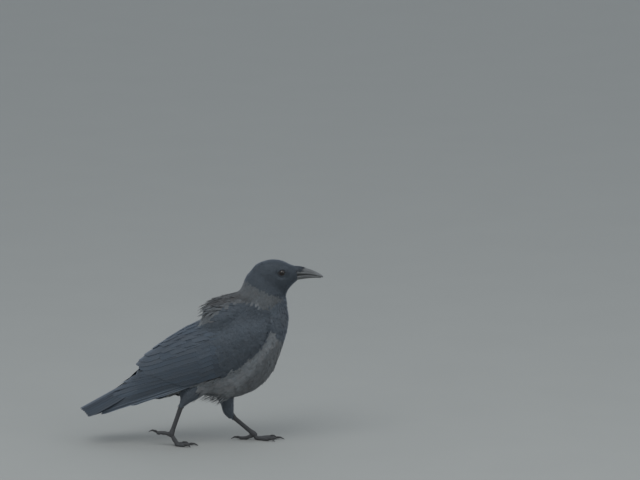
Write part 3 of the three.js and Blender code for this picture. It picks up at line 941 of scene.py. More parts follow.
LEFT_THIGH_TRACTS: dict[str, Tract] = {
    "drumstick": Tract((35, 27, 95), (0.1, 0, -1), 13, 7, 2.2, 0.3),
    "drumstick middle": Tract((43, 27, 64), (0.1, 0, -1), 9.5, 5.2, 2.0, 0.3),
    "drumstick end": Tract((47, 27, 48), (0.4, 0, -0.9), 7, 4, 1.4, 0.2),
}


@dataclass
class Plan:
    """What the coat is like at many points at once."""

    lie: Array
    length: Array
    width: Array
    depth: Array
    lift: Array


class CoatPlan:
    """The coat's lie and sizes anywhere on the bird, eased between its tracts."""

    def __init__(self, tracts: Iterable[Tract], mirrored: bool, sharpness: float = 4.0) -> None:
        """Sets out the tracts.

        Args:
            tracts: The places that the coat is known at.
            mirrored: Whether each also stands on the other side of the bird.
            sharpness: How firmly the nearest tracts decide.
        """
        rows = [[*t.place, *t.lie, t.length, t.width, t.depth, t.lift] for t in tracts]
        table = np.array(rows, float)
        if mirrored:
            other = table.copy()
            other[:, [1, 4]] *= -1
            table = np.concatenate([table, other])
        self.table = table
        self.sharpness = sharpness

    def at(self, points: Array) -> Plan:
        """Reads the plan.

        Args:
            points: The places to read it at.

        Returns:
            The coat there, with its lie not yet laid on a surface.
        """
        found = np.empty((len(points), 7))
        for first in range(0, len(points), 8192):
            part = points[first : first + 8192]
            gap = ((part[:, None] - self.table[None, :, :3]) ** 2).sum(-1) + 9.0
            weight = gap ** (-self.sharpness / 2)
            weight /= weight.sum(1, keepdims=True)
            found[first : first + 8192] = weight @ self.table[:, 3:]
        return Plan(unit(found[:, :3]), found[:, 3], found[:, 4], found[:, 5], found[:, 6])


@dataclass(frozen=True)
class Markings:
    """Where the plumage is black, and how pale and how brown the grey is.

    Attributes:
        nape: Where the hood's edge meets the nape, X and Z.
        throat: Where it meets the throat, X and Z.
        bib: The black breast patch's rear edge, Z and X.
        shoulder: The black shoulder's upper edge, X and Z.
        wing_edge: Two points of the wing's lower front edge, X and Z.
        stern: The X behind which the tail's coverts are black.
    """

    nape: Pair = (76.5, 282.0)
    throat: Pair = (136.0, 253.0)
    bib: tuple[Pair, ...] = (
        (172, 152), (174, 146), (180, 134), (198, 123), (212, 109), (236, 107),
        (245, 131), (253, 137), (262, 140),
    )
    shoulder: tuple[Pair, ...] = (
        (-10, 204), (8.5, 213), (29, 231), (50, 244), (70, 247), (92, 244.5), (108, 235), (118, 210),
    )
    wing_edge: tuple[Pair, Pair] = ((118.0, 200.0), (60.0, 125.0))
    stern: float = -62.0

    def _above_shoulder(self, points: Array) -> Array:
        """How far points stand above the black shoulder's upper edge."""
        edge = np.array(self.shoulder)
        return points[:, 2] - np.interp(points[:, 0], edge[:, 0], edge[:, 1])

    def black(self, points: Array) -> Array:
        """Tells which points of the body's own coat are black.

        Args:
            points: The places asked about, not on the wings, thighs or tail.

        Returns:
            True where the coat is black.
        """
        x, y, z = points.T
        slope = (self.throat[1] - self.nape[1]) / (self.throat[0] - self.nape[0])
        hood = z > self.nape[1] + slope * (x - self.nape[0])
        edge = np.array(self.bib)
        bib = (x > np.interp(z, edge[:, 0], edge[:, 1])) & (z > 172) & (z < 262)
        over = self._above_shoulder(points)
        shoulder = (over < 0) & (x < 118) & (z > 200 - 30 * ease(-x, -80, -62))
        shoulder &= (x > 8) | (abs(y) > 24)
        return hood | bib | (shoulder & (x > -60)) | (x < self.stern)

    def tone(self, points: Array) -> Array:
        """Tells how pale the grey coat is, with painted light that lifts it where the wing and the body
        shade it.

        Args:
            points: The places asked about.

        Returns:
            The share of light that the grey feathers give back there.
        """
        x, _, z = points.T
        (x1, z1), (x2, z2) = self.wing_edge
        length = math.hypot(x2 - x1, z2 - z1)
        ahead = ((x - x1) * (z1 - z2) - (z - z1) * (x1 - x2)) / length
        # Paler near the wing's lower edge: partly the flank's paler grey, partly painted light that lifts
        # the wing's shadow there.
        low = 0.182 - 0.082 * ease(ahead, 12, 24) - 0.02 * ease(-x, -45, 10)
        # Paler on the tuft between the legs: partly its pale grey, partly painted light that lifts the shade
        # under the body.
        low += 0.07 * ease(-z, -98, -82) * ease(x, 10, 16) * ease(-x, -52, -44)
        back = 0.1 - 0.056 * self.dark_back(points)
        collar = 0.091 - 0.012 * ease(-z, -255, -240)
        upper = ease(z, 200, 222) * ease(-x, -100, -80)
        grey = low * (1 - upper) + back * upper
        neck = self._collar(points)
        return grey * (1 - neck) + collar * neck

    def _collar(self, points: Array) -> Array:
        """How far points are on the grey collar, under the hood."""
        x, _, z = points.T
        return ease(z + np.clip(x, 85, 107), 335, 347) * ease(x, 60, 72)

    def dark_back(self, points: Array) -> Array:
        """Tells which points are on the dark ruffled back, above its pale edge.

        Args:
            points: The places asked about.

        Returns:
            How far each is on it, 0 to 1.
        """
        pale = 3.5 + 8.0 * ease(-points[:, 0], -48, -22)
        pale += 13.0 * ease(-points[:, 0], -24, -8)
        return ease(self._above_shoulder(points) - pale, -3.0, 4.0)

    def warmth(self, points: Array) -> Array:
        """Tells how brown the coat is.

        Args:
            points: The places asked about.

        Returns:
            The share of brown, 0 to 1.
        """
        x, _, z = points.T
        back = self.dark_back(points) * ease(-x, -84, -60)
        belly = ease(-z, -150, -100)
        breast = ease(x, 125, 140) * ease(z, 175, 200) * ease(-z, -245, -225)
        brown = 0.12 + 0.32 * back + 0.1 * belly + 0.3 * breast - 0.12 * self._collar(points)
        return np.clip(brown, 0, 1)


# ---------------------------------------------------------------- the skin


class Part(Enum):
    """The parts of the body that carry their own kind of coat."""

    HEAD = "head"
    NECK = "neck"
    TRUNK = "trunk"
    MANTLE = "mantle"
    THIGH_RIGHT = "thigh_right"
    THIGH_LEFT = "thigh_left"
    WING_RIGHT = "wing_coverts_right"
    WING_LEFT = "wing_coverts_left"
    TARSUS_RIGHT = "tarsus_right"
    TARSUS_LEFT = "tarsus_left"


PARTS = list(Part)
FEATHERED = [p for p in PARTS if "tarsus" not in p.value]
TOES = ("toe_inner", "toe_middle", "toe_outer", "hallux")


def solid_points(node: str) -> Array:
    """The vertices of a solid of the frame, in the bird's millimetres."""
    return Bench.points(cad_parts[node])


@dataclass
class Roots:
    """Where feathers grow.

    Attributes:
        points: The places on the skin.
        normals: The way out of the skin there.
        patches: The same places on the skin's own unwrapped map.
    """

    points: Array
    normals: Array
    patches: Array

    def only(self, chosen: Array) -> "Roots":
        """The roots that are chosen by a mask or by their numbers."""
        return Roots(self.points[chosen], self.normals[chosen], self.patches[chosen])


class Ground:
    """A surface that feathers and folds lie on, read by its nearest point."""

    def __init__(self, points: Array, faces: Array, normals: Array):
        """Sets up the surface.

        Args:
            points: Its vertices.
            faces: Its triangles.
            normals: The normals at its vertices.
        """
        self.tree = BVHTree.FromPolygons(points.tolist(), faces.tolist())
        self.out = unit(normals[faces].mean(1))

    @classmethod
    def of(cls, piece: Piece) -> "Ground":
        """The surface of a piece."""
        return cls(Bench.points(piece), Bench.triangles(piece), Bench.normals(piece))

    def nearest(self, points: Array) -> tuple[Array, Array]:
        """Finds the surface under points.

        Args:
            points: The places asked about.

        Returns:
            The nearest points of the surface, and the way out of it there.
        """
        found = np.empty_like(points)
        number = np.empty(len(points), int)
        for i, point in enumerate(points.tolist()):
            near, _, index, _ = self.tree.find_nearest(point)
            found[i], number[i] = near, index
        return found, self.out[number]


@dataclass
class EyeSeat:
    """One eye's place in the head, read from its solid.

    Attributes:
        side: The eye's side.
        radius: The eyeball's radius.
        opening: The radius of the opening between the lids.
        tilt: How far the opening's front end is raised, in degrees.
        aspect: How much nearer its ends, and how much farther its rims, are taken to be.
        lids: How far round the eye the skin is shaped for the lids.
    """

    side: Side
    radius: float = 6.3
    opening: float = 4.4
    tilt: float = 8.0
    aspect: Pair = (0.93, 1.06)
    lids: float = 13.0

    def __post_init__(self) -> None:
        """Reads the eye's centre from the frame."""
        low, high = (to_bird(np.array(corner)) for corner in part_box(f"eye_{self.side.word}"))
        out = high[1] if self.side is Side.LEFT else low[1]
        self.centre = (low + high) / 2
        self.centre[1] = out - self.side.value * (self.radius + 0.5)

    def lengths(self, points: Array) -> tuple[Array, Array]:
        """Measures points from the eye's centre.

        Args:
            points: The places asked about.

        Returns:
            How far off they are along the opening, and across it.
        """
        turn = math.radians(self.tilt)
        dx, dz = (points - self.centre).T[[0, 2]]
        return dx * math.cos(turn) + dz * math.sin(turn), dz * math.cos(turn) - dx * math.sin(turn)

    def from_axis(self, points: Array) -> Array:
        """How far points are from the eye's axis, with the opening's long way shortened."""
        along, up = self.lengths(points)
        return np.hypot(along * self.aspect[0], up * self.aspect[1])


@dataclass
class Skin:
    """The one skin of the bird, from the head to the toes.

    Attributes:
        finishes: The bird's materials.
        plan: The coat over the body.
        thighs: The coats over the thighs.
        markings: The bird's markings.
        eyes: The eyes' places.
        grain: The grain of the body's surface.
        leg_grain: The grain of the legs'.
        fill: How wide a crease the plumage bridges.
        scute: How long a scale of the shank is.
        run_in: How far a shank runs up inside its thigh.
    """

    finishes: Finishes
    plan: CoatPlan
    thighs: dict[Part, CoatPlan]
    markings: Markings
    eyes: list[EyeSeat]
    grain: float = 1.9
    leg_grain: float = 0.75
    fill: float = 6.0
    scute: float = 3.1
    run_in: float = 12.0

    def build(self) -> None:
        """Models the skin and dresses it."""
        body = self._body()
        legs = [self._leg(side) for side in Side]
        whole = Bench.joined([body, *legs], "skin")
        with Bench.editing(whole):
            bpy.ops.uv.smart_project(angle_limit=math.radians(66), island_margin=0.002)
        whole.data.uv_layers[0].name = "OFBake"
        bpy.ops.object.shade_smooth()
        self._read(whole)
        corners = fetch(whole.data.loops, "vertex_index", 1, np.int32)
        starts = fetch(whole.data.polygons, "loop_start", 1, np.int32)
        bare = self.part[corners[starts]] >= len(FEATHERED)
        whole.data.polygons.foreach_set("material_index", bare.astype(np.int32))
        nodes = [p.value for p in PARTS]
        nodes += [f"{toe}_{side.word}" for toe in TOES for side in Side]
        Bench.dress(whole, [self.finishes.skin, self.finishes.scales], Slot.GREY, nodes)

    def _body(self) -> Piece:
        """Models the feathered part of the skin, inside the solids by the coat's depth.

        Returns:
            The body's skin, not yet joined to the legs'.
        """
        nodes = [p.value for p in FEATHERED]
        body = Bench.flesh(nodes, "skin_body", self.grain, 0.5, 6, self.fill)
        points = Bench.points(body)
        near = np.min([e.from_axis(points) / e.lids for e in self.eyes], 0) < 1.0
        near &= points[:, 0] > 110
        Bench.grab(body)
        body.data.vertices.foreach_set("select", np.zeros(len(points), bool))
        body.data.edges.foreach_set("select", np.zeros(len(body.data.edges), bool))
        chosen = [all(near[v] for v in f.vertices) for f in body.data.polygons]
        body.data.polygons.foreach_set("select", chosen)
        bpy.ops.object.mode_set(mode="EDIT")
        bpy.ops.mesh.select_mode(type="FACE")
        bpy.ops.mesh.subdivide(number_cuts=2, smoothness=0.0)
        bpy.ops.object.mode_set(mode="OBJECT")
        points = Bench.points(body)
        part = self._parts(points, nodes)
        depth = self.plan.at(points).depth
        for where, plan in self.thighs.items():
            mine = part == PARTS.index(where)
            depth[mine] = plan.at(points[mine]).depth
        points = points - Bench.normals(body) * (depth + 0.45)[:, None]
        Bench.move(body, points)
        Bench.modify(body, "SMOOTH", factor=0.5, iterations=3)
        self._lids(body)
        self._write(body, part, np.zeros(len(part)))
        return body

    def _parts(self, points: Array, nodes: Sequence[str]) -> Array:
        """Finds which of the named solids each point lies on.

        Args:
            points: The places asked about.
            nodes: The solids' names.

        Returns:
            The number of each point's part.
        """
        shape, corners, owner = [], [], []
        for number, node in enumerate(nodes):
            faces = Bench.triangles(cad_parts[node])
            corners += (faces + len(shape)).tolist()
            shape += solid_points(node).tolist()
            owner += [number] * len(faces)
        tree = BVHTree.FromPolygons(shape, corners)
        found = [tree.find_nearest(p)[2] for p in points.tolist()]
        return np.array(owner)[found]

    def _lids(self, body: Piece) -> None:
        """Opens the skin over each eyeball and raises the lids' folds round it.

        Args:
            body: The feathered part of the skin.
        """
        points = Bench.points(body)
        for eye in self.eyes:
            out = eye.side.value
            away = eye.from_axis(points)
            mine = (away < eye.lids) & (points[:, 1] * out > 8.0)
            r = away[mine]
            flat = points[mine][:, 1] * out
            centre = eye.centre[1] * out
            ball = np.sqrt(np.maximum(eye.radius**2 - np.minimum(r, 6.2) ** 2, 0.5))
            rim = centre + np.sqrt(eye.radius**2 - eye.opening**2) + 0.35
            socket = centre + ball - 1.6
            lid = rim - 0.28 * np.maximum(r - eye.opening - 0.9, 0.0)
            lid += 0.28 * np.cos((r - eye.opening) * 2.6) * ease(-r, -10, -7)
            side = socket + (lid - socket) * ease(r, eye.opening - 0.5, eye.opening + 0.25)
            blend = ease(r, 7.2, 12.5)
            points[mine, 1] = out * (side * (1 - blend) + flat * blend)
        Bench.move(body, points)

    def _leg(self, side: Side) -> Piece:
        """Models one scaled shank and foot.

        Args:
            side: The leg's side.

        Returns:
            The leg's skin, not yet joined to the body's.
        """
        nodes = [f"tarsus_{side.word}", *(f"{toe}_{side.word}" for toe in TOES)]
        leg = Bench.flesh(nodes, f"skin_leg_{side.word}", self.leg_grain, 0.35, 4)
        points, normals = Bench.points(leg), Bench.normals(leg)
        part = self._parts(points, nodes)
        raised = np.zeros(len(points))
        plate = np.ones(len(points))
        for number, node in enumerate(nodes):
            mine = part == number
            solid = solid_points(node)
            middle = solid.mean(0)
            axis = np.linalg.svd(solid - middle, full_matrices=False)[2][0]
            up = np.array([1.0, 0.0, 0.35]) if number == 0 else np.array([0.0, 0.0, 1.0])
            up = across(up[None], axis[None])[0]
            along = (points[mine] - middle) @ axis
            front = ease(normals[mine] @ up, -0.1, 0.45)
            back = ease(-(normals[mine] @ up), 0.2, 0.7)
            pitch = self.scute if number == 0 else self.scute * 0.82
            step = np.mod(along / pitch, 1.0)
            ridge = ease(step, 0.0, 0.22) * (1 - 0.55 * step)
            raised[mine] = 0.42 * front * (ridge - 0.4)
            plate[mine] = 1 - front * (1 - ease(step, 0.0, 0.25))
            if number:
                raised[mine] += back * 0.3 * np.cos(along * 2 * math.pi / 9.0)
        shank = solid_points(nodes[0])
        heel = shank[:, 2].max()
        thigh = solid_points(f"thigh_{side.word}").mean(0)
        into = unit(thigh - shank[shank[:, 2] > heel - 3.0].mean(0))
        points = points + normals * (raised - 0.22)[:, None]
        points += into * (self.run_in * ease(points[:, 2], heel - 3.0, heel))[:, None]
        points[:, 2] = np.maximum(points[:, 2], 0.05)
        Bench.move(leg, points)
        number = np.full(len(points), PARTS.index(Part(f"tarsus_{side.word}")))
        self._write(leg, number, plate)
        return leg

    def _write(self, piece: Piece, part: Array, plate: Array) -> None:
        """Writes the parts, markings and scales on a piece of skin.

        Args:
            piece: The piece.
            part: The number of each vertex's part.
            plate: How far each vertex is up on a scale.
        """
        points = Bench.points(piece)
        black = self.markings.black(points) | (part >= PARTS.index(Part.THIGH_RIGHT))
        Bench.note(piece, "part", part)
        Bench.note(piece, "black", black)
        Bench.note(piece, "tone", self.markings.tone(points))
        Bench.note(piece, "plate", plate)

    def _read(self, whole: Piece) -> None:
        """Keeps the finished skin's shape and map, which feathers grow on.

        Args:
            whole: The finished skin.
        """
        mesh = whole.data
        self.points, self.normals = Bench.points(whole), Bench.normals(whole)
        self.faces = Bench.triangles(whole)
        loops = fetch(mesh.loop_triangles, "loops", 3, np.int32)
        self.map = fetch(mesh.uv_layers["OFBake"].data, "uv", 2)[loops]
        self.part = np.rint(fetch(mesh.attributes["part"].data, "value")).astype(int)
        self.ground = Ground.of(whole)

    def scatter(
        self, parts: Sequence[Part], spacing: Chooser, seed: int, keep: Chooser | None = None
    ) -> Roots:
        """Sets out roots on parts of the skin, evenly but in no pattern.

        Args:
            parts: The parts they grow on.
            spacing: Gives how far apart they are at points.
            seed: The seed of the draws.
            keep: Tells which points may carry a root.

        Returns:
            The roots.
        """
        rng = np.random.default_rng(seed)
        numbers = [PARTS.index(p) for p in parts]
        mine = np.isin(self.part[self.faces[:, 0]], numbers)
        if keep is not None:
            mine &= keep(self.points[self.faces].mean(1))
        faces, spots = self.faces[mine], self.map[mine]
        a, b, c = (self.points[faces[:, i]] for i in range(3))
        area = np.linalg.norm(np.cross(b - a, c - a), axis=1) / 2
        gap = spacing((a + b + c) / 3)
        load = area / gap**2
        tries = int(load.sum() * 3.2) + 1
        pick = rng.choice(len(faces), tries, p=load / load.sum())
        s, t = rng.random(tries), rng.random(tries)
        over = s + t > 1
        s[over], t[over] = 1 - s[over], 1 - t[over]
        share = np.stack([1 - s - t, s, t], 1)[:, :, None]
        points = (self.points[faces[pick]] * share).sum(1)
        normals = unit((self.normals[faces[pick]] * share).sum(1))
        patches = (spots[pick] * share).sum(1)
        near = KDTree(tries)
        for i, point in enumerate(points.tolist()):
            near.insert(point, i)
        near.balance()
        free = np.ones(tries, bool)
        chosen = []
        for i, (point, reach) in enumerate(zip(points.tolist(), gap[pick].tolist())):
            if free[i]:
                chosen.append(i)
                for _, other, _ in near.find_range(point, reach):
                    free[other] = False
        return Roots(points, normals, patches).only(np.array(chosen))


# ------------------------------------------------------------- the feathers


class VaneShape(Enum):
    """The outlines of small feathers, as rows of u and half width."""

    ROUND = ((0.0, 0.25), (0.2, 0.72), (0.45, 0.98), (0.7, 1.0), (0.86, 0.8), (0.95, 0.48), (1.0, 0.1))
    SOFT = (
        (0.0, 0.25), (0.2, 0.7), (0.45, 1.0), (0.62, 0.93), (0.76, 0.78),
        (0.87, 0.5), (0.95, 0.27), (1.0, 0.04),
    )
    LANCE = ((0.0, 0.3), (0.18, 0.72), (0.42, 1.0), (0.68, 0.8), (0.86, 0.42), (1.0, 0.04))
    BLADE = ((0.0, 0.6), (0.35, 1.0), (0.75, 0.6), (1.0, 0.05))

    def pattern(self) -> Pattern:
        """Models the feather, a flat three-sided vane that tapers to its tip.

        Returns:
            The pattern.
        """
        rows = np.array(self.value)
        rings = np.zeros((len(rows), 3, 3))
        rings[:, :, 0] = rows[:, :1]
        rings[:, 0, 1] = rows[:, 1]
        rings[:, 2, 1] = -rows[:, 1]
        rings[:, 1, 2] = 0.06 * rows[:, 1] + 0.01
        return Pattern.extruded(rings)


@dataclass(frozen=True)
class Habit:
    """How a bed of feathers is laid.

    Attributes:
        shape: The feathers' outline.
        spacing: How far apart the roots are, as a share of the length.
        scale: Their length against the plan's.
        slim: Their width against the plan's.
        follow: How far the tips turn into the lie of the coat.
        unrest: How much they differ in size and direction.
        lift: How far the tips stand off, past the plan's.
        cling: How closely they keep to the surface.
        fray: How ragged their rims are.
        stand: How steeply they leave the skin.
    """

    shape: VaneShape = VaneShape.SOFT
    spacing: float = 0.22
    scale: float = 1.0
    slim: float = 0.85
    follow: float = 0.45
    unrest: float = 1.0
    lift: float = 0.0
    cling: float = 1.0
    fray: float = 0.1
    stand: float = 0.0


def along_spines(line: Array, out: Array, u: Array) -> tuple[Array, Array, Array]:
    """Finds points on the spines of many feathers.

    Args:
        line: The spines, feathers by steps by 3.
        out: The ways out of the surface along them.
        u: Shares of a feather's length.

    Returns:
        The points, the ways out there, and the steps of the spines that they lie on.
    """
    steps = line.shape[1] - 1
    low = np.minimum((u * steps).astype(int), steps - 1)
    part = (u * steps - low)[None, :, None]
    centre = line[:, low] * (1 - part) + line[:, low + 1] * part
    up = unit(out[:, low] * (1 - part) + out[:, low + 1] * part)
    return centre, up, line[:, low + 1] - line[:, low]


def for_points(values: Array, count: int) -> Array:
    """One value for each feather, repeated for all of its points."""
    return np.repeat(values[:, None], count, 1)


@dataclass
class FeatherBed:
    """Feathers on a stretch of skin, laid one by one along the lie of the coat."""

    skin: Skin
    plan: CoatPlan
    steps: int = 5

    def _lie(self, points: Array, normals: Array) -> Array:
        """The lie of the coat on the skin, which parts round the eyes.

        Args:
            points: Places on the skin.
            normals: The way out of the skin there.

        Returns:
            The directions of the feathers.
        """
        lie = across(self.plan.at(points).lie, normals)
        for eye in self.skin.eyes:
            off = points - eye.centre
            near = np.abs(off[:, 1]) < 12
            off[:, 1] = 0.0
            reach = np.maximum((off**2).sum(1), eye.opening**2)
            share = near * (eye.opening + 0.8) ** 2 / reach
            past = 2.0 * (lie * off).sum(1) / reach
            flow = lie - share[:, None] * (past[:, None] * off - lie)
            lie = across(flow, normals)
        return lie

    def lay(self, roots: Roots, habit: Habit, pattern: Pattern, seed: int) -> tuple[Swatch, Array]:
        """Lays a feather from every root.

        Args:
            roots: Where they grow.
            habit: How they are laid.
            pattern: Their shape.
            seed: The seed of the draws.

        Returns:
            The feathers, in finish 0, and the place where each one shows most.
        """
        rng = np.random.default_rng(seed)
        count = len(roots.points)
        plan = self.plan.at(roots.points)
        wild = habit.unrest
        length = plan.length * habit.scale * (1 + wild * rng.uniform(-0.14, 0.14, count))
        width = plan.width * habit.slim * (1 + wild * rng.uniform(-0.15, 0.15, count))
        lift = plan.lift * (1 + rng.uniform(-0.5, 0.8, count)) + habit.lift
        point, normal = roots.points, roots.normals
        heading = self._lie(point, normal)
        side = np.cross(normal, heading)
        heading = unit(heading + side * (wild * rng.normal(0, 0.1, count))[:, None])
        heading = unit(heading + normal * habit.stand)
        spine, outward = [point], [normal]
        for _ in range(self.steps):
            ahead = point + heading * (length / self.steps)[:, None]
            point, normal = self.skin.ground.nearest(ahead)
            point = ahead + (point - ahead) * habit.cling
            local = self._lie(point, normal)
            turn = habit.follow / self.steps * 2
            flat = across(heading * (1 - turn) + local * turn, normal)
            heading = unit(heading + (flat - heading) * habit.cling)
            spine.append(point)
            outward.append(normal)
        line, out = np.stack(spine, 1), unit(np.stack(outward, 1))
        out = unit(out + out.mean(1, keepdims=True))
        u, v, w = pattern.points.T
        centre, up, step = along_spines(line, out, u)
        cross = unit(np.cross(up, unit(step + 1e-6)))
        roll = (wild * rng.normal(0, 0.09, count))[:, None, None]
        cross, up = cross + up * roll, up - cross * roll
        sway = (wild * rng.normal(0, 0.045, count) * length)[:, None] * u**2
        worn = 1 + rng.normal(0, habit.fray, (count, len(u))) * ease(u, 0.4, 0.7)
        v = v * worn
        deep = plan.depth[:, None]
        rise = deep * (-0.05 + 1.05 * u**0.6 - 0.1 * ease(u, 0.8, 1.0))
        rise += lift[:, None] * u**1.6 + rng.uniform(-0.2, 0.2, count)[:, None] * (deep * 0.4)
        rise -= width[:, None] * 0.03 * v**2
        half = width[:, None] / 2
        points = centre + cross * (v * half + sway)[:, :, None]
        points = points + up * (rise + w * width[:, None])[:, :, None]
        shows = centre[:, np.argmin(np.abs(u - 0.65))]
        rim = np.maximum(np.minimum(np.abs(v), 1.0), ease(u, 0.72, 1.0))
        notes = {"tone": np.ones(rim.shape), "warmth": np.zeros(rim.shape), "fringe": rim}
        vane = np.stack([v * half, u * length[:, None]], 2)
        return Swatch(pattern, points, roots.patches, vane, notes, np.zeros(count, int)), shows


@dataclass(frozen=True)
class BlackTone:
    """How dark each stretch of black plumage is."""

    hood: float = 0.039
    breast: float = 0.074
    shoulder: float = 0.046
    wing: float = 0.052
    tail: float = 0.036
    thigh: float = 0.078


@dataclass
class BodyCoat:
    """All the small feathers of the body, in one piece for each stretch of it."""

    finishes: Finishes
    skin: Skin
    wing: "WingForm"
    tones: BlackTone

    def build(self) -> None:
        """Lays and dresses every stretch of the coat."""
        self.shapes = {shape: shape.pattern() for shape in VaneShape}
        self.looks = [self.finishes.grey, self.finishes.black]
        self._head()
        self._neck()
        self._breast()
        self._belly()
        self._stern()
        self._mantle()
        for part in (Part.THIGH_RIGHT, Part.THIGH_LEFT):
            self._thigh(part)
        for part in (Part.WING_RIGHT, Part.WING_LEFT):
            self._shoulder(part)

    def _colour(self, swatch: Swatch, shows: Array, seed: int) -> Swatch:
        """Gives every feather its finish and its own shade of it.

        Args:
            swatch: The laid feathers.
            shows: Where each one shows most.
            seed: The seed of the draws.

        Returns:
            The same feathers.
        """
        rng = np.random.default_rng(seed)
        count = len(shows)
        unsure = shows + rng.normal(0, 1.4, (count, 3))
        black = self.skin.markings.black(unsure)
        dark = np.where(shows[:, 2] > 255, self.tones.hood, self.tones.breast)
        dark = np.where(shows[:, 0] < 118, self.tones.shoulder, dark)
        dark = np.where(shows[:, 2] > 268, self.tones.hood, dark)
        tone = np.where(black, dark, self.skin.markings.tone(unsure))
        tone *= 1 + rng.normal(0, 0.06, count)
        warm = self.skin.markings.warmth(shows) + rng.normal(0, 0.08, count)
        warm = np.where(black, warm * 0.5, warm)
        each = swatch.points.shape[1]
        swatch.notes["tone"] = for_points(np.clip(tone, 0.012, 0.2), each)
        swatch.notes["warmth"] = for_points(np.clip(warm, 0, 1), each)
        swatch.finish = black.astype(int)
        return swatch

    def _bed(
        self,
        parts: Sequence[Part],
        habit: Habit,
        seed: int,
        keep: Chooser | None = None,
        plan: CoatPlan | None = None,
    ) -> Swatch:
        """Lays one bed of feathers in the body's markings.

        Args:
            parts: The parts that they grow on.
            habit: How they are laid.
            seed: The seed of the draws.
            keep: Tells which points may carry a root.
            plan: The coat there, if it isn't the body's.

        Returns:
            The feathers.
        """
        plan = plan or self.skin.plan
        roots = self.skin.scatter(parts, lambda p: plan.at(p).length * habit.spacing, seed, keep)
        bed = FeatherBed(self.skin, plan)
        swatch, shows = bed.lay(roots, habit, self.shapes[habit.shape], seed + 1)
        return self._colour(swatch, shows, seed + 2)

    def _dress(self, name: str, swatches: Sequence[Swatch], slot: Slot) -> None:
        """Joins beds of feathers into a finished piece of coat."""
        Bench.dress(joined_mesh(name, swatches), self.looks, slot)

    def _clear_of_eyes(self, points: Array) -> Array:
        """Tells which points are off the lids."""
        away = [np.where(points[:, 1] * e.side.value > 8, e.from_axis(points), 99.0) for e in self.skin.eyes]
        return np.min(away, 0) > 6.3

    def _head(self) -> None:
        """The hood's short feathers, smallest round the bill and eyes."""
        habit = Habit(spacing=0.25, slim=0.8, unrest=0.6, follow=0.8)
        bed = self._bed([Part.HEAD], habit, 11, self._clear_of_eyes)
        self._dress("coat_head", [bed], Slot.HOOD)

    def _neck(self) -> None:
        """The neck's feathers, with pointed hackles down the throat."""
        main = self._bed([Part.NECK], Habit(spacing=0.21), 21)
        hackle = Habit(VaneShape.LANCE, 0.28, 1.2, 0.55, 0.3, 1.3, 0.9)
        front = self._bed([Part.NECK, Part.HEAD], hackle, 24, lambda p: (p[:, 0] > 124) & (p[:, 2] < 268))
        self._dress("coat_neck", [main, front], Slot.GREY)

    def _hidden(self, points: Array) -> Array:
        """Tells which points of the trunk lie close under a folded wing.

        Args:
            points: The places asked about.

        Returns:
            True where the wing hides the trunk.
        """
        s, h = self.wing.unfold(points)
        gap = self.wing.half_width(s, h) - np.abs(points[:, 1])
        inside = (s > 14) & (s < 205) & (h < 50)
        inside &= h > np.interp(s, [0, 30, 102, 170, 230], [-14, -17, -31, -14, -6])
        return inside & (gap > 2) & (gap < 19)

    def _breast(self) -> None:
        """The breast's feathers, with a fringe of loose ones in front."""
        def front(p: Array) -> Array:
            """Tells which points are on the breast."""
            return (p[:, 0] > 78) & ~self._hidden(p)

        main = self._bed([Part.TRUNK], Habit(spacing=0.2), 31, front)
        loose = Habit(VaneShape.LANCE, 0.3, 1.0, 0.4, 0.4, 1.4, 0.4)
        fringe = self._bed([Part.TRUNK], loose, 34, front)
        self._dress("coat_breast", [main, fringe], Slot.GREY)

    def _belly(self) -> None:
        """The belly's and flanks' long soft feathers."""
        def under(p: Array) -> Array:
            """Tells which points are on the belly and flanks."""
            low = p[:, 2] < 150 + 0.35 * p[:, 0]
            return (p[:, 0] <= 78) & (p[:, 0] > -40) & low & ~self._hidden(p)

        def between(p: Array) -> Array:
            """Tells which points are between the thighs."""
            return (p[:, 0] > 14) & (p[:, 0] < 46) & (abs(p[:, 1]) < 24) & (p[:, 2] < 92)

        main = self._bed([Part.TRUNK], Habit(spacing=0.2), 41, under)
        loose = Habit(VaneShape.LANCE, 0.28, 1.05, 0.36, 0.4, 1.8, 1.1)
        fringe = self._bed([Part.TRUNK], loose, 44, under)
        hanging = Habit(VaneShape.LANCE, 0.2, 1.0, 0.5, 0.0, 1.8, 0.5, cling=0.05, stand=0.85)
        plan = CoatPlan([Tract((20, 0, 84), (-1, 0, 0), 21, 8, 3.0, 0.5)], False)
        tuft = self._bed([Part.TRUNK], hanging, 47, between, plan)
        self._dress("coat_belly", [main, fringe, tuft], Slot.GREY)

    def _stern(self) -> None:
        """The back between the wings, and the coverts over and under the tail."""
        def rear(p: Array) -> Array:
            """Tells which points are on the back and rump."""
            low = p[:, 2] < 150 + 0.35 * p[:, 0]
            return ((p[:, 0] <= -40) | (~low & (p[:, 0] <= 78))) & ~self._hidden(p)

        def over_tail(p: Array) -> Array:
            """Tells which points are over the root of the tail."""
            return (p[:, 0] < -36) & (p[:, 2] > 112) & (abs(p[:, 1]) < 30)

        bed = self._bed([Part.TRUNK], Habit(spacing=0.2), 51, rear)
        long = Habit(VaneShape.ROUND, 0.17, 1.35, 0.9, 0.0, 1.0, 0.5, cling=0.35)
        coverts = self._bed([Part.TRUNK], long, 54, over_tail)
        self._dress("coat_stern", [bed, coverts], Slot.GREY)

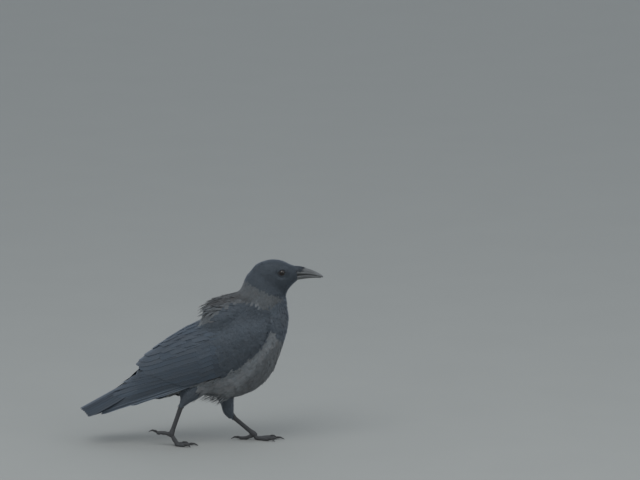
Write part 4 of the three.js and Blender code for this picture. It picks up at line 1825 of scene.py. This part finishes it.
    def _mantle(self) -> None:
        """The ruffled mantle, whose hind feathers stand out raggedly."""
        main = self._bed([Part.MANTLE], Habit(spacing=0.2, scale=0.85, unrest=0.9), 61)
        tufts = Habit(VaneShape.LANCE, 0.26, 0.95, 0.42, 0.3, 2.0, 1.2)
        ragged = self._bed(
            [Part.MANTLE], tufts, 64, lambda p: (p[:, 0] < 62) & (self.skin.markings.dark_back(p) > 0.7)
        )
        loose = Habit(VaneShape.LANCE, 0.17, 1.0, 0.4, 0.0, 1.6, 0.5, cling=0.1, stand=0.12)
        plan = CoatPlan([Tract((25, 0, 245), (-0.97, 0, -0.22), 27, 9, 3.0, 0.5)], False)
        tips = self._bed(
            [Part.MANTLE], loose, 67, lambda p: (p[:, 0] > 17) & (p[:, 0] < 46) & (p[:, 2] > 232), plan
        )
        low = Habit(VaneShape.SOFT, 0.17, 1.0, 0.72, 0.4, 0.7, 0.3, cling=0.85)
        plan = CoatPlan([Tract((10, 0, 220), (-0.92, 0, -0.4), 22, 10, 2.4, 0.3)], False)
        hem = self._bed(
            [Part.MANTLE], low, 70, lambda p: (p[:, 0] < 24) & ~self.skin.markings.black(p), plan
        )
        self._dress("coat_mantle", [main, ragged, tips, hem], Slot.GREY)

    def _thigh(self, part: Part) -> None:
        """The drumstick's feathers, which end in a ragged cuff at the heel.

        Args:
            part: The thigh that they grow on.
        """
        seed = 71 + 10 * PARTS.index(part)
        plan = self.skin.thighs[part]
        main = self._bed([part], Habit(spacing=0.23), seed, plan=plan)
        loose = Habit(VaneShape.LANCE, 0.34, 1.05, 0.45, 0.5, 1.6, 0.4)
        cuff = self._bed([part], loose, seed + 3, plan=plan)
        for bed in (main, cuff):
            self._blacken(bed, self.tones.thigh, seed + 6)
        self._dress(f"coat_{part.value}", [main, cuff], Slot.THIGH)

    def _blacken(self, bed: Swatch, tone: float, seed: int) -> None:
        """Makes a whole bed black, each feather in its own shade.

        Args:
            bed: The feathers.
            tone: How dark they are.
            seed: The seed of the draws.
        """
        rng = np.random.default_rng(seed)
        shade = tone * (1 + rng.normal(0, 0.1, len(bed.finish)))
        bed.notes["tone"] = for_points(shade, bed.points.shape[1])
        bed.notes["warmth"] *= 0.5
        bed.finish = np.ones(len(bed.finish), int)

    def _shoulder(self, part: Part) -> None:
        """The small scale-like coverts on the bend and front of a wing.

        Args:
            part: The wing that they grow on.
        """
        def front(p: Array) -> Array:
            """Tells which points are on the bend and front."""
            s, h = self.wing.unfold(p)
            outer = np.abs(p[:, 1]) > self.wing.half_width(s, h) * 0.45
            return (s < 84 - 0.25 * h) & (outer | (s < 6)) | ((h > 38) & (s < 60))

        seed = 101 + 10 * PARTS.index(part)
        habit = Habit(VaneShape.ROUND, 0.25, slim=0.9, unrest=0.7, fray=0.07)
        bed = self._bed([part], habit, seed, front)
        self._blacken(bed, self.tones.wing, seed + 6)
        self._dress(f"coat_{part.value}", [bed], Slot.FLIGHT)


# ------------------------------------------------------- the folded wing


@dataclass
class WingForm:
    """The smooth outer face of a folded wing, with s from its bend to its tips and h up across it.

    Attributes:
        bend: Where s and h start.
        slope: How steeply s runs down, in degrees.
        keel: The h at which the form is widest.
        stations: At each s, the half width, and the heights above and below the keel.
    """

    bend: Triple = (112.0, 0.0, 207.5)
    slope: float = 27.7
    keel: float = -8.0
    stations: tuple[tuple[float, float, float, float], ...] = (
        (-12, 40, 42, 50), (8, 48, 52, 58), (40, 54.5, 61, 66), (85, 58, 65, 71),
        (125, 56.5, 67.5, 70), (165, 50.5, 65, 63), (205, 43.5, 60.5, 56),
        (228, 40, 53, 53), (250, 36.5, 37, 50), (295, 31, 28, 44), (335, 27, 22, 36),
    )

    def __post_init__(self) -> None:
        """Works out the wing's two directions in the bird's axes."""
        turn = math.radians(self.slope)
        self.along = np.array([-math.cos(turn), 0.0, -math.sin(turn)])
        self.up = np.array([-math.sin(turn), 0.0, math.cos(turn)])
        self.table = np.array(self.stations).T

    def unfold(self, points: Array) -> tuple[Array, Array]:
        """The s and h of points, seen from the side."""
        rel = points - np.array(self.bend)
        return rel @ self.along, rel @ self.up

    def height(self, s: float, turn: float) -> float:
        """The h of a point of the form at s, by its angle round the section."""
        return self.keel + math.sin(turn) * float(np.interp(s, self.table[0], self.table[2]))

    def half_width(self, s: Array, h: Array) -> Array:
        """How far out the form stands at s and h."""
        half, tall, _ = self._section(s, h > self.keel)
        return half * np.sqrt(np.clip(1 - ((h - self.keel) / tall) ** 2, 0.0, 1.0))

    def _section(self, s: Array, above: Array) -> tuple[Array, Array, Array]:
        """Reads the form's section.

        Args:
            s: How far along the wing.
            above: Whether its upper part is meant.

        Returns:
            The half width, the half height and their mean.
        """
        half, over, under = (np.interp(s, self.table[0], row) for row in self.table[1:])
        tall = np.where(above, over, under)
        return half, tall, (half + tall) / 2

    def girth(self, s: Array, h: Array) -> Array:
        """How far round the form h is, from where the form is widest."""
        _, tall, mean = self._section(s, h > self.keel)
        return np.arcsin(np.clip((h - self.keel) / tall, -1.0, 1.0)) * mean

    def place(self, s: Array, round_it: Array, out: Array, side: Side) -> Array:
        """Points on the form or off it.

        Args:
            s: How far along the wing they are.
            round_it: How far round the form, which may pass its top.
            out: How far off its face.
            side: The wing's side.

        Returns:
            The points.
        """
        half, tall, mean = self._section(s, round_it > 0)
        turn = round_it / mean
        h = self.keel + np.sin(turn) * (tall + out)
        y = np.cos(turn) * (half + out)
        points = np.array(self.bend) + s[..., None] * self.along + h[..., None] * self.up
        points[..., 1] += side.value * y
        return points


class QuillTip(Enum):
    """How a long feather ends: where its taper starts, its width there and its rounding."""

    BLUNT = (0.86, 0.96, 0.91)
    ROUND = (0.7, 0.9, 0.88)
    TAPER = (0.55, 0.62, 0.93)


@dataclass(frozen=True)
class QuillVane:
    """The outline of a long feather, with a raised shaft and thin vanes.

    Attributes:
        tip: How it ends.
        rows: How many rows it has along its length.
        thick: How thick its vane is.
        shaft: How far its shaft stands out.
    """

    tip: QuillTip
    rows: int = 26
    thick: float = 0.2
    shaft: float = 0.4

    def width(self, u: Array) -> Array:
        """Gives the half width along the feather.

        Args:
            u: Shares of its length.

        Returns:
            The half width there, as a share of the greatest.
        """
        start, narrow, turn = self.tip.value
        base = 0.4 + 0.6 * ease(u, 0.0, 0.3)
        taper = 1 - (1 - narrow) * ease(u, start, turn)
        end = np.sqrt(np.clip(1 - (np.maximum(u - turn, 0) / (1 - turn)) ** 2, 0, 1))
        return base * taper * np.maximum(end, 0.05)

    def rim(self, u: Array, v: Array, end: float) -> Array:
        """How near points are to the vane's rim, with the tip's rim from a share of the length on."""
        return np.maximum(np.abs(v) / np.maximum(self.width(u), 0.2), ease(u, end, 1.0))

    def pattern(self) -> Pattern:
        """Models the feather row by row.

        Returns:
            The pattern.
        """
        u = 1 - (1 - np.linspace(0, 1, self.rows)) ** 1.35
        half = self.width(u)
        across_it = (1.0, 0.56, 0.09, 0.0, -0.09, -0.56, -1.0, 0.0)
        out = (0.3, 0.5, 0.6, 1.0, 0.6, 0.5, 0.3, -0.6)
        rings = np.zeros((self.rows, 8, 3))
        for j, (v, w) in enumerate(zip(across_it, out)):
            rings[:, j, 0] = u
            rings[:, j, 1] = v * half
            rings[:, j, 2] = w * (self.shaft if j == 3 else self.thick)
        rings[:, 3, 2] *= 1 - 0.7 * u
        return Pattern.extruded(rings)


def map_cells(numbers: Array, grid: int) -> Array:
    """The middles of cells on the bake's map, numbered row by row."""
    return np.stack([(numbers % grid + 0.5) / grid, (numbers // grid + 0.5) / grid], 1)


@dataclass(frozen=True)
class Quill:
    """One long feather of the wing, by three points of its shaft in s and h.

    Attributes:
        root: Where it starts.
        middle: Where its middle lies.
        tip: Where it ends.
        width: How wide it is.
        outer: The outer vane's share of that.
        sunk: How far under the wing's face it lies.
        tilt: How much deeper its inner edge lies.
        pale: How pale its worn lower edge is.
    """

    root: Pair
    middle: Pair
    tip: Pair
    width: float
    outer: float = 0.4
    sunk: float = 0.0
    tilt: float = 1.6
    pale: float = 0.0


@dataclass(frozen=True)
class Rank:
    """A row of like coverts, set evenly from its first to its last.

    Attributes:
        count: How many there are.
        s: Where the first and last tips are along the wing.
        h: Where they are across it.
        root: How far a root lies from its tip, in s and h.
        sag: How far a shaft's middle lies from its tip in h.
        look: Each one's width, outer share, depth and tilt.
    """

    count: int
    s: Pair
    h: Pair
    root: Pair
    sag: float
    look: tuple[float, float, float, float]


@dataclass
class FoldedWing:
    """The flight feathers and the ranked coverts of one folded wing.

    Attributes:
        finishes: The bird's materials.
        form: The smooth face that they lie on.
        side: The wing's side.
        tone: How dark the wing is.
        over: How far the right wing's upper feathers lie over the left's.
        primary_tips: The primaries' tips, in s and h.
        primary_middles: The middles of the primaries' shafts.
        secondary_tips: The secondaries' tips.
        tertial_tips: The tertials' tips.
        ranks: The primary coverts, the alula, and the greater and median coverts.
    """

    finishes: Finishes
    form: WingForm
    side: Side
    tone: float
    over: float = 3.5

    primary_tips: tuple[Pair, ...] = (
        (238, 23), (252, 24), (268, 23.5), (286, 19.5), (305, 15.5), (325, 11.5),
        (336, 7), (338, 3), (321, -3.5), (268, -13.5),
    )
    primary_middles: tuple[Pair, ...] = (
        (162, 12), (170, 12), (178, 11), (188, 8), (198, 4), (205, -1),
        (210, -6), (212, -11.5), (206, -17), (184, -23),
    )
    secondary_tips: tuple[Pair, ...] = (
        (178, -12), (184, -7), (190, -1), (196, 5), (201, 11), (207, 17), (213, 23), (219, 28),
    )
    tertial_tips: tuple[Pair, ...] = (
        (223, 31), (227, 38), (231, 43.5), (224, 47), (211, 51), (195, 55), (180, 57),
    )
    ranks: tuple[Rank, ...] = (
        Rank(6, (150, 118), (-25, -31), (-46, -5), -2, (11.0, 0.42, 1.2, 1.0)),
        Rank(3, (98, 76), (-34, -31), (-44, 3), 1, (9.5, 0.4, 0.8, 0.8)),
        Rank(11, (142, 116), (-24, 50), (-40, -3), -1, (14.0, 0.45, 0.9, 1.1)),
        Rank(12, (114, 90), (-29, 52), (-28, -1.5), -0.5, (11.5, 0.46, 0.45, 0.9)),
    )

    def _primaries(self) -> list[Quill]:
        """The ten primaries, the outermost lowest and last.

        Returns:
            The feathers.
        """
        found = []
        for k, (tip, middle) in enumerate(zip(self.primary_tips, self.primary_middles)):
            high = (1.0 if self.side is Side.RIGHT else 0.2) * self.over
            tip = (tip[0], tip[1] + high * ease(float(-k), -5.0, -1.0))
            root = (even(84, 100, k / 9), even(-22, -34, k / 9))
            width = even(15.5, 12.5, k / 9)
            pale = ease(float(k), 6.0, 8.0)
            found.append(Quill(root, middle, tip, width, 0.36, 1.5 + 0.2 * k, 0.9, pale))
        return found

    def _secondaries(self) -> list[Quill]:
        """The eight secondaries, the outermost lowest and first.

        Returns:
            The feathers.
        """
        found = []
        for k, tip in enumerate(self.secondary_tips):
            root = (88.0, even(-33, 4, k / 7))
            middle = ((root[0] + tip[0]) / 2, (root[1] + tip[1]) / 2 + 1.0)
            found.append(Quill(root, middle, tip, 20.0, 0.44, 1.5 - 0.06 * k))
        return found

    def _tertials(self) -> list[Quill]:
        """The broad feathers that cover the top of the folded wing.

        Returns:
            The feathers.
        """
        found = []
        for k, tip in enumerate(self.tertial_tips):
            if self.side is Side.LEFT:
                tip = (tip[0] - 2.0, tip[1] - 0.2 * self.over)
            root = (even(82, 60, k / 6), even(10, 50, k / 6))
            middle = ((root[0] + tip[0]) / 2, (root[1] + tip[1]) / 2 + even(2, 4.5, k / 6))
            found.append(Quill(root, middle, tip, 24.0, 0.48, 1.0 - 0.12 * k))
        return found

    def _scapulars(self) -> list[Quill]:
        """The feathers of the shoulder, which close the roof over the back.

        Returns:
            The feathers.
        """
        found = []
        for row, reach in enumerate((187.0, 168.0, 146.0, 124.0, 102.0, 92.0)):
            for k in range(5):
                s = max(reach - 5.5 * k, 76.0)
                turn = math.radians(47 + 11.5 * k)
                high = self.form.height(s, turn)
                root = (s - 40.0, self.form.height(s - 40.0, turn - 0.14))
                middle = (s - 20.0, self.form.height(s - 20.0, turn - 0.05))
                sunk = 0.2 - 0.1 * row - 0.08 * k
                found.append(Quill(root, middle, (s, high), 17.0, 0.48, sunk, 1.0))
        return found

    def _ranks(self) -> list[Quill]:
        """The ranked coverts, and the scapulars over the back.

        Returns:
            The feathers.
        """
        found = []
        for rank in self.ranks:
            for k in range(rank.count):
                share = k / (rank.count - 1)
                s, h = even(*rank.s, share), even(*rank.h, share)
                root = (s + rank.root[0], h + rank.root[1])
                middle = (s + rank.root[0] / 2, h + rank.sag)
                found.append(Quill(root, middle, (s, h), *rank.look))
        return found + self._scapulars()

    def _lay(self, quills: Sequence[Quill], vane: QuillVane, first: int, seed: int) -> Swatch:
        """Lays long feathers on the wing's face.

        Args:
            quills: The feathers.
            vane: Their outline.
            first: The number of the first one's place on the bake's map.
            seed: The seed of the draws.

        Returns:
            The feathers.
        """
        rng = np.random.default_rng(seed)
        pattern = vane.pattern()
        u, v, w = pattern.points.T
        points, flat = [], []
        for quill in quills:
            a, b, c = (np.array(p)[:, None] for p in (quill.root, quill.middle, quill.tip))
            shaft = a * (2 * u - 1) * (u - 1) + b * 4 * u * (1 - u) + c * u * (2 * u - 1)
            slope = a * (4 * u - 3) + b * (4 - 8 * u) + c * (4 * u - 1)
            slope = slope / np.linalg.norm(slope, axis=0)
            share = np.where(v > 0, quill.outer, 1 - quill.outer)
            fray = rng.normal(0, 0.022, vane.rows)[np.arange(len(u)) // pattern.ring]
            frayed = 1 + fray * (np.abs(v) > 0.3)
            lateral = v * share * quill.width * frayed
            s = shaft[0] + slope[1] * lateral
            round_it = self.form.girth(shaft[0], shaft[1]) - slope[0] * lateral
            reach = np.linalg.norm(np.array(quill.tip) - quill.root)
            out = w - quill.sunk + quill.tilt * (lateral / quill.width - quill.outer)
            out -= 1.6 * ease(-u, -0.4, 0.0)
            if self.side is Side.LEFT:
                out -= 1.5 * ease(self.form.girth(shaft[0], shaft[1]), 48.0, 70.0)
            points.append(self.form.place(s, round_it, out, self.side))
            flat.append(np.stack([lateral, u * reach], 1))
        count = len(quills)
        patches = map_cells(first + np.arange(count), 10)
        rim = vane.rim(u, v, 0.93)
        tone = self.tone * (1 + rng.normal(0, 0.07, count))[:, None]
        worn = ease(rim, 0.7, 0.92) * (v > 0.1) * ease(u, 0.3, 0.5)
        tone = tone + np.array([[q.pale * 0.17] for q in quills]) * worn
        notes = {
            "tone": tone,
            "warmth": for_points(rng.uniform(0, 0.35, count), len(u)),
            "fringe": np.repeat(np.clip(rim, 0, 1)[None], count, 0),
        }
        return Swatch(
            pattern, np.stack(points), patches, np.stack(flat), notes, np.zeros(count, int), patch=0.092
        )

    def build(self) -> None:
        """Lays and dresses the wing's feathers."""
        word, seed = self.side.word, 300 + 40 * self.side.value
        blunt, narrow = QuillVane(QuillTip.BLUNT), QuillVane(QuillTip.TAPER)
        flight = joined_mesh(
            f"wing_flight_{word}",
            [
                self._lay(self._primaries(), narrow, 0, seed),
                self._lay(self._secondaries(), blunt, 10, seed + 1),
                self._lay(self._tertials(), blunt, 20, seed + 2),
            ],
        )
        covert = QuillVane(QuillTip.ROUND, rows=16)
        ranks = joined_mesh(f"wing_ranks_{word}", [self._lay(self._ranks(), covert, 0, seed + 3)])
        nodes = [f"wing_primaries_{word}", f"wing_secondaries_{word}"]
        Bench.dress(flight, [self.finishes.flight], Slot.FLIGHT, nodes)
        Bench.dress(ranks, [self.finishes.flight], Slot.FLIGHT)


@dataclass
class Tail:
    """The twelve closed tail feathers, the middle pair on top."""

    finishes: Finishes
    tone: float
    root: Triple = (-48.0, 0.0, 149.2)
    slope: float = 29.2
    length: float = 179.0
    arch: float = 16.0
    half: float = 31.0
    tips: tuple[float, ...] = (2.5, 7.8, 13.2, 18.5, 23.0, 27.0)

    def build(self) -> None:
        """Lays and dresses the tail."""
        rng = np.random.default_rng(500)
        vane = QuillVane(QuillTip.BLUNT, rows=28)
        pattern = vane.pattern()
        u, v, w = pattern.points.T
        turn = math.radians(self.slope)
        back = np.array([-math.cos(turn), 0.0, -math.sin(turn)])
        up = np.array([-math.sin(turn), 0.0, math.cos(turn)])
        points, flat = [], []
        for side in Side:
            for k, tip in enumerate(self.tips):
                width = 18.5 - 0.6 * k
                outer = 0.46 - 0.045 * k
                reach = self.length + 3.4 - 1.7 * k + rng.uniform(-1.2, 0.4)
                share = np.where(v > 0, outer, 1 - outer)
                lateral = v * share * width
                middle = even(1.2 + 0.9 * k, tip, 1.0) * ease(u, -0.6, 0.75)
                y = middle + lateral
                t = u * reach
                out = w - 0.35 * k - 0.3 + 1.1 * (lateral / width - outer) * (k > 0)
                drop = self.arch * (np.clip(y, -36.0, 36.0) / self.half) ** 2
                point = np.array(self.root) + t[:, None] * back
                point = point + (out - drop * ease(u, 0.0, 0.4))[:, None] * up
                point[:, 1] += side.value * y
                points.append(point)
                flat.append(np.stack([lateral, t], 1))
        count = len(points)
        rim = vane.rim(u, v, 0.94)
        tone = self.tone * (1 + rng.normal(0, 0.06, count))
        notes = {
            "tone": for_points(tone, len(u)),
            "warmth": for_points(rng.uniform(0, 0.35, count), len(u)),
            "fringe": np.repeat(np.clip(rim, 0, 1)[None], count, 0),
        }
        vanes = Swatch(
            pattern, np.stack(points), map_cells(np.arange(count), 4), np.stack(flat), notes,
            np.zeros(count, int), patch=0.23,
        )
        piece = joined_mesh("tail_feathers", [vanes])
        with Bench.editing(piece):
            bpy.ops.mesh.normals_make_consistent(inside=False)
        Bench.dress(piece, [self.finishes.flight], Slot.FLIGHT, ["tail"])


# ------------------------------------------------------ bill, eyes and claws


@dataclass
class Bill:
    """The stout bill, in two halves that meet along the gape."""

    finishes: Finishes
    grain: float = 0.55
    ridge: float = 0.45

    def build(self) -> None:
        """Models and dresses both halves."""
        for node, upward in (("bill_upper", 1.0), ("bill_lower", -1.0)):
            piece = Bench.flesh([node], f"horn_{node}", self.grain, 0.4, 2)
            points, normals = Bench.points(piece), Bench.normals(piece)
            x, y, z = points.T
            keel = np.exp(-((y / 1.5) ** 2)) * ease(normals[:, 2] * upward, 0.3, 0.8)
            points[:, 2] += upward * self.ridge * keel * ease(x, 150, 165)
            side = ease(np.abs(normals[:, 1]), 0.5, 0.9) * (1 - ease(x, 185, 200))
            middle = 298.0 if upward > 0 else 284.0
            groove = np.exp(-(((z - middle + (x - 165) * 0.12) / 1.6) ** 2))
            points -= normals * (0.3 * groove * side)[:, None]
            Bench.move(piece, points)
            # Upper bill: paler along the top of its ridge is a painted highlight, paler towards the tip is
            # wear, and it is a little darker on its flat sides.
            wear_and_highlight = 0.38 + 0.5 * keel + 0.35 * ease(x, 170, 200) - 0.1 * side
            if upward > 0:
                self.upper = piece
            else:
                wear_and_highlight = 0.34 + 0.35 * ease(x, 170, 200)
            Bench.note(piece, "wear_and_highlight", wear_and_highlight)
            Bench.shade(piece)
            Bench.dress(piece, [self.finishes.bill], Slot.BILL, [node])


@dataclass
class Bristles:
    """The stiff bristles that lie forward over the nostrils."""

    finishes: Finishes
    skin: Skin
    bill: Bill
    tone: float
    count: int = 420

    def build(self) -> None:
        """Lays and dresses the bristles."""
        rng = np.random.default_rng(700)
        ground = Ground.of(self.bill.upper)
        angle = np.radians(rng.uniform(-82, 82, self.count))
        start = rng.uniform(146.0, 161.0, self.count)
        seat = np.stack([start, 7.5 * np.sin(angle), 297.5 + 7.0 * np.cos(angle)], 1)
        point, normal = ground.nearest(seat)
        steps = 4
        length = rng.uniform(11.0, 19.0, self.count) * (1 - 0.2 * np.abs(np.sin(angle)))
        heading = np.tile([1.0, 0.0, -0.08], (self.count, 1))
        heading[:, 1] += rng.normal(0, 0.1, self.count) - 0.12 * np.sin(angle)
        heading[:, 2] += rng.normal(0, 0.08, self.count)
        heading = across(heading, normal)
        spine, outward = [point], [normal]
        for _ in range(steps):
            point, normal = ground.nearest(point + heading * (length / steps)[:, None])
            heading = across(heading, normal)
            spine.append(point)
            outward.append(normal)
        line, out = np.stack(spine, 1), np.stack(outward, 1)
        pattern = VaneShape.BLADE.pattern()
        u, v, w = pattern.points.T
        centre, up, step = along_spines(line, out, u)
        cross = unit(np.cross(up, step))
        width = rng.uniform(0.9, 1.4, self.count)[:, None]
        rise = rng.uniform(0.15, 0.9, self.count)[:, None] * (0.6 + 0.4 * u)
        points = centre + cross * (v * width / 2)[:, :, None]
        points = points + up * (rise + w * width * 2)[:, :, None]
        seats, _ = self.skin.ground.nearest(line[:, 0])
        close = KDTree(len(self.skin.faces))
        middles = self.skin.points[self.skin.faces].mean(1)
        for i, middle in enumerate(middles.tolist()):
            close.insert(middle, i)
        close.balance()
        number = [close.find(seat)[1] for seat in seats.tolist()]
        patches = self.skin.map[number].mean(1)
        shape = (self.count, len(u))
        tone = for_points(self.tone * rng.uniform(0.75, 1.15, self.count), len(u))
        notes = {"tone": tone, "warmth": np.full(shape, 0.2), "fringe": np.zeros(shape)}
        vane = np.stack([v * width / 2, u * length[:, None]], 2)
        swatch = Swatch(pattern, points, patches, vane, notes, np.zeros(self.count, int))
        Bench.dress(joined_mesh("coat_bristles", [swatch]), [self.finishes.black], Slot.HOOD)


@dataclass
class Eyeball:
    """One round dark eye and the bare rims of its lids."""

    finishes: Finishes
    seat: EyeSeat
    rim: float = 0.5

    def build(self) -> None:
        """Models and dresses the eye."""
        seat, word = self.seat, self.seat.side.word
        centre = Vector(to_frame(seat.centre))
        Bench.clear()
        bpy.ops.mesh.primitive_uv_sphere_add(
            segments=48, ring_count=32, radius=seat.radius * MM, location=centre,
            rotation=(math.pi / 2, 0.0, 0.0),
        )
        ball = bpy.context.active_object
        ball.name = ball.data.name = f"eyeball_{word}"
        bpy.ops.object.transform_apply(location=True, rotation=True, scale=True)
        points = Bench.points(ball)
        away = np.hypot(*(points - seat.centre).T[[0, 2]])
        front = (points[:, 1] - seat.centre[1]) * seat.side.value > 0
        bulge = 0.35 * (1 - ease(away, 0.0, 3.6)) * front
        points[:, 1] += seat.side.value * bulge
        Bench.move(ball, points)
        Bench.note(ball, "from_axis", np.where(front, away / seat.opening, 1.0))
        bpy.ops.object.shade_smooth()
        Bench.dress(ball, [self.finishes.eye], Slot.EYE, [f"eye_{word}"])
        self._rim()

    def _rim(self) -> None:
        """Models the rims of the lids as one soft ring round the opening."""
        seat = self.seat
        height = math.sqrt(seat.radius**2 - seat.opening**2) + 0.15
        spot = seat.centre + np.array([0, seat.side.value * height, 0])
        Bench.clear()
        bpy.ops.mesh.primitive_torus_add(
            major_segments=56, minor_segments=10, major_radius=seat.opening * MM,
            minor_radius=self.rim * MM, location=Vector(to_frame(spot)),
            rotation=(math.pi / 2, 0.0, 0.0),
        )
        ring = bpy.context.active_object
        ring.name = ring.data.name = f"lid_rim_{seat.side.word}"
        bpy.ops.object.transform_apply(location=True, rotation=True, scale=True)
        points = Bench.points(ring)
        rel = points - seat.centre
        along, up = seat.lengths(points)
        angle = np.arctan2(up, along)
        long, tall = seat.aspect
        stretch = 1 / np.hypot(long * np.cos(angle), tall * np.sin(angle))
        corner = 1 + 0.09 * np.exp(-((angle / 0.3) ** 2))
        corner += 0.06 * np.exp(-(((np.abs(angle) - math.pi) / 0.3) ** 2))
        rel[:, [0, 2]] *= (stretch * corner)[:, None]
        Bench.move(ring, seat.centre + rel)
        bpy.ops.object.shade_smooth()
        Bench.dress(ring, [self.finishes.lid], Slot.HOOD)


@dataclass
class Claws:
    """The curved claws of both feet, each over its own solid."""

    finishes: Finishes
    grain: float = 0.34

    def build(self) -> None:
        """Models and dresses the claws."""
        for side in Side:
            for toe in TOES:
                node = f"claw_{toe.removeprefix('toe_')}_{side.word}"
                piece = Bench.flesh([node], f"horn_{node}", self.grain, 0.2, 2)
                points = Bench.points(piece)
                out = unit(points.mean(0) - solid_points(f"{toe}_{side.word}").mean(0))
                reach = (points - points.mean(0)) @ out
                reach -= reach.min()
                points -= out * (1.6 * (1 - ease(reach, 0.0, 3.5)))[:, None]
                Bench.move(piece, points)
                Bench.note(piece, "wear_and_highlight", ease(reach, 3.0, 10.0) * 0.5)
                Bench.shade(piece)
                Bench.dress(piece, [self.finishes.claw], Slot.CLAW, [node])


# ------------------------------------------------------------------ studio


@dataclass
class Studio:
    """The floor, the soft light and the camera.

    Attributes:
        finishes: The bird's materials.
        target: The point that the camera looks at.
        distance: How far off it stands, in metres.
        elevation: How high it stands, in degrees.
        lens: Its focal length.
    """

    finishes: Finishes
    target: Triple = (201.4, 0.0, 350.7)
    distance: float = 10.0
    elevation: float = 10.0
    lens: float = 332.2

    def build(self) -> None:
        """Makes the studio."""
        Bench.clear()
        bpy.ops.mesh.primitive_plane_add(size=400.0, location=(0.0, 0.0, 0.0))
        floor = bpy.context.active_object
        floor.name = "floor"
        floor.data.materials.append(self.finishes.floor)
        world = bpy.data.worlds.new("soft_sky")
        world.use_nodes = True
        sky = world.node_tree.nodes["Background"]
        sky.inputs["Color"].default_value = (0.86, 0.93, 1.0, 1.0)
        sky.inputs["Strength"].default_value = 0.64
        bpy.context.scene.world = world
        self._lamp("key_light", (-1.2, -2.2, 3.2), 2.4, 54.0)
        self._lamp("fill_light", (2.6, -1.6, 2.0), 2.6, 18.0)
        eye = to_frame(np.array(self.target))
        turn = math.radians(self.elevation)
        away = np.array([0.0, -math.cos(turn), math.sin(turn)]) * self.distance
        Bench.clear()
        bpy.ops.object.camera_add(location=Vector(eye + away))
        camera = bpy.context.active_object
        camera.rotation_euler = Vector(-away).to_track_quat("-Z", "Y").to_euler()
        camera.data.lens = self.lens
        camera.data.clip_end = 500.0
        scene = bpy.context.scene
        scene.camera = camera
        scene.view_settings.view_transform = "Standard"

    @staticmethod
    def _lamp(name: str, place: Triple, size: float, power: float) -> None:
        """Hangs one soft square light that looks at the bird.

        Args:
            name: The light's name.
            place: Where it hangs, in metres.
            size: How wide it is, in metres.
            power: How strong it is, in watts.
        """
        Bench.clear()
        bpy.ops.object.light_add(type="AREA", location=place)
        lamp = bpy.context.active_object
        lamp.name = name
        lamp.data.size = size
        lamp.data.energy = power
        aim = Vector((0.0, 0.0, 0.15)) - Vector(place)
        lamp.rotation_euler = aim.to_track_quat("-Z", "Y").to_euler()


def main() -> None:
    """Builds the bird and its studio."""
    logging.basicConfig(level=logging.INFO, format="%(message)s", stream=sys.stdout)
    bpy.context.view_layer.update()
    finishes = Finishes()
    Studio(finishes).build()
    plan = CoatPlan(BODY_TRACTS.values(), mirrored=True)
    thighs = {
        Part.THIGH_RIGHT: CoatPlan(RIGHT_THIGH_TRACTS.values(), mirrored=False),
        Part.THIGH_LEFT: CoatPlan(LEFT_THIGH_TRACTS.values(), mirrored=False),
    }
    markings = Markings()
    eyes = [EyeSeat(side) for side in Side]
    skin = Skin(finishes, plan, thighs, markings, eyes)
    skin.build()
    wing, tones = WingForm(), BlackTone()
    BodyCoat(finishes, skin, wing, tones).build()
    for side in Side:
        FoldedWing(finishes, wing, side, tones.wing).build()
    Tail(finishes, tones.tail).build()
    bill = Bill(finishes)
    bill.build()
    Bristles(finishes, skin, bill, tones.hood).build()
    for seat in eyes:
        Eyeball(finishes, seat).build()
    Claws(finishes).build()
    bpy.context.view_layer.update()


if __name__ == "__main__":
    main()
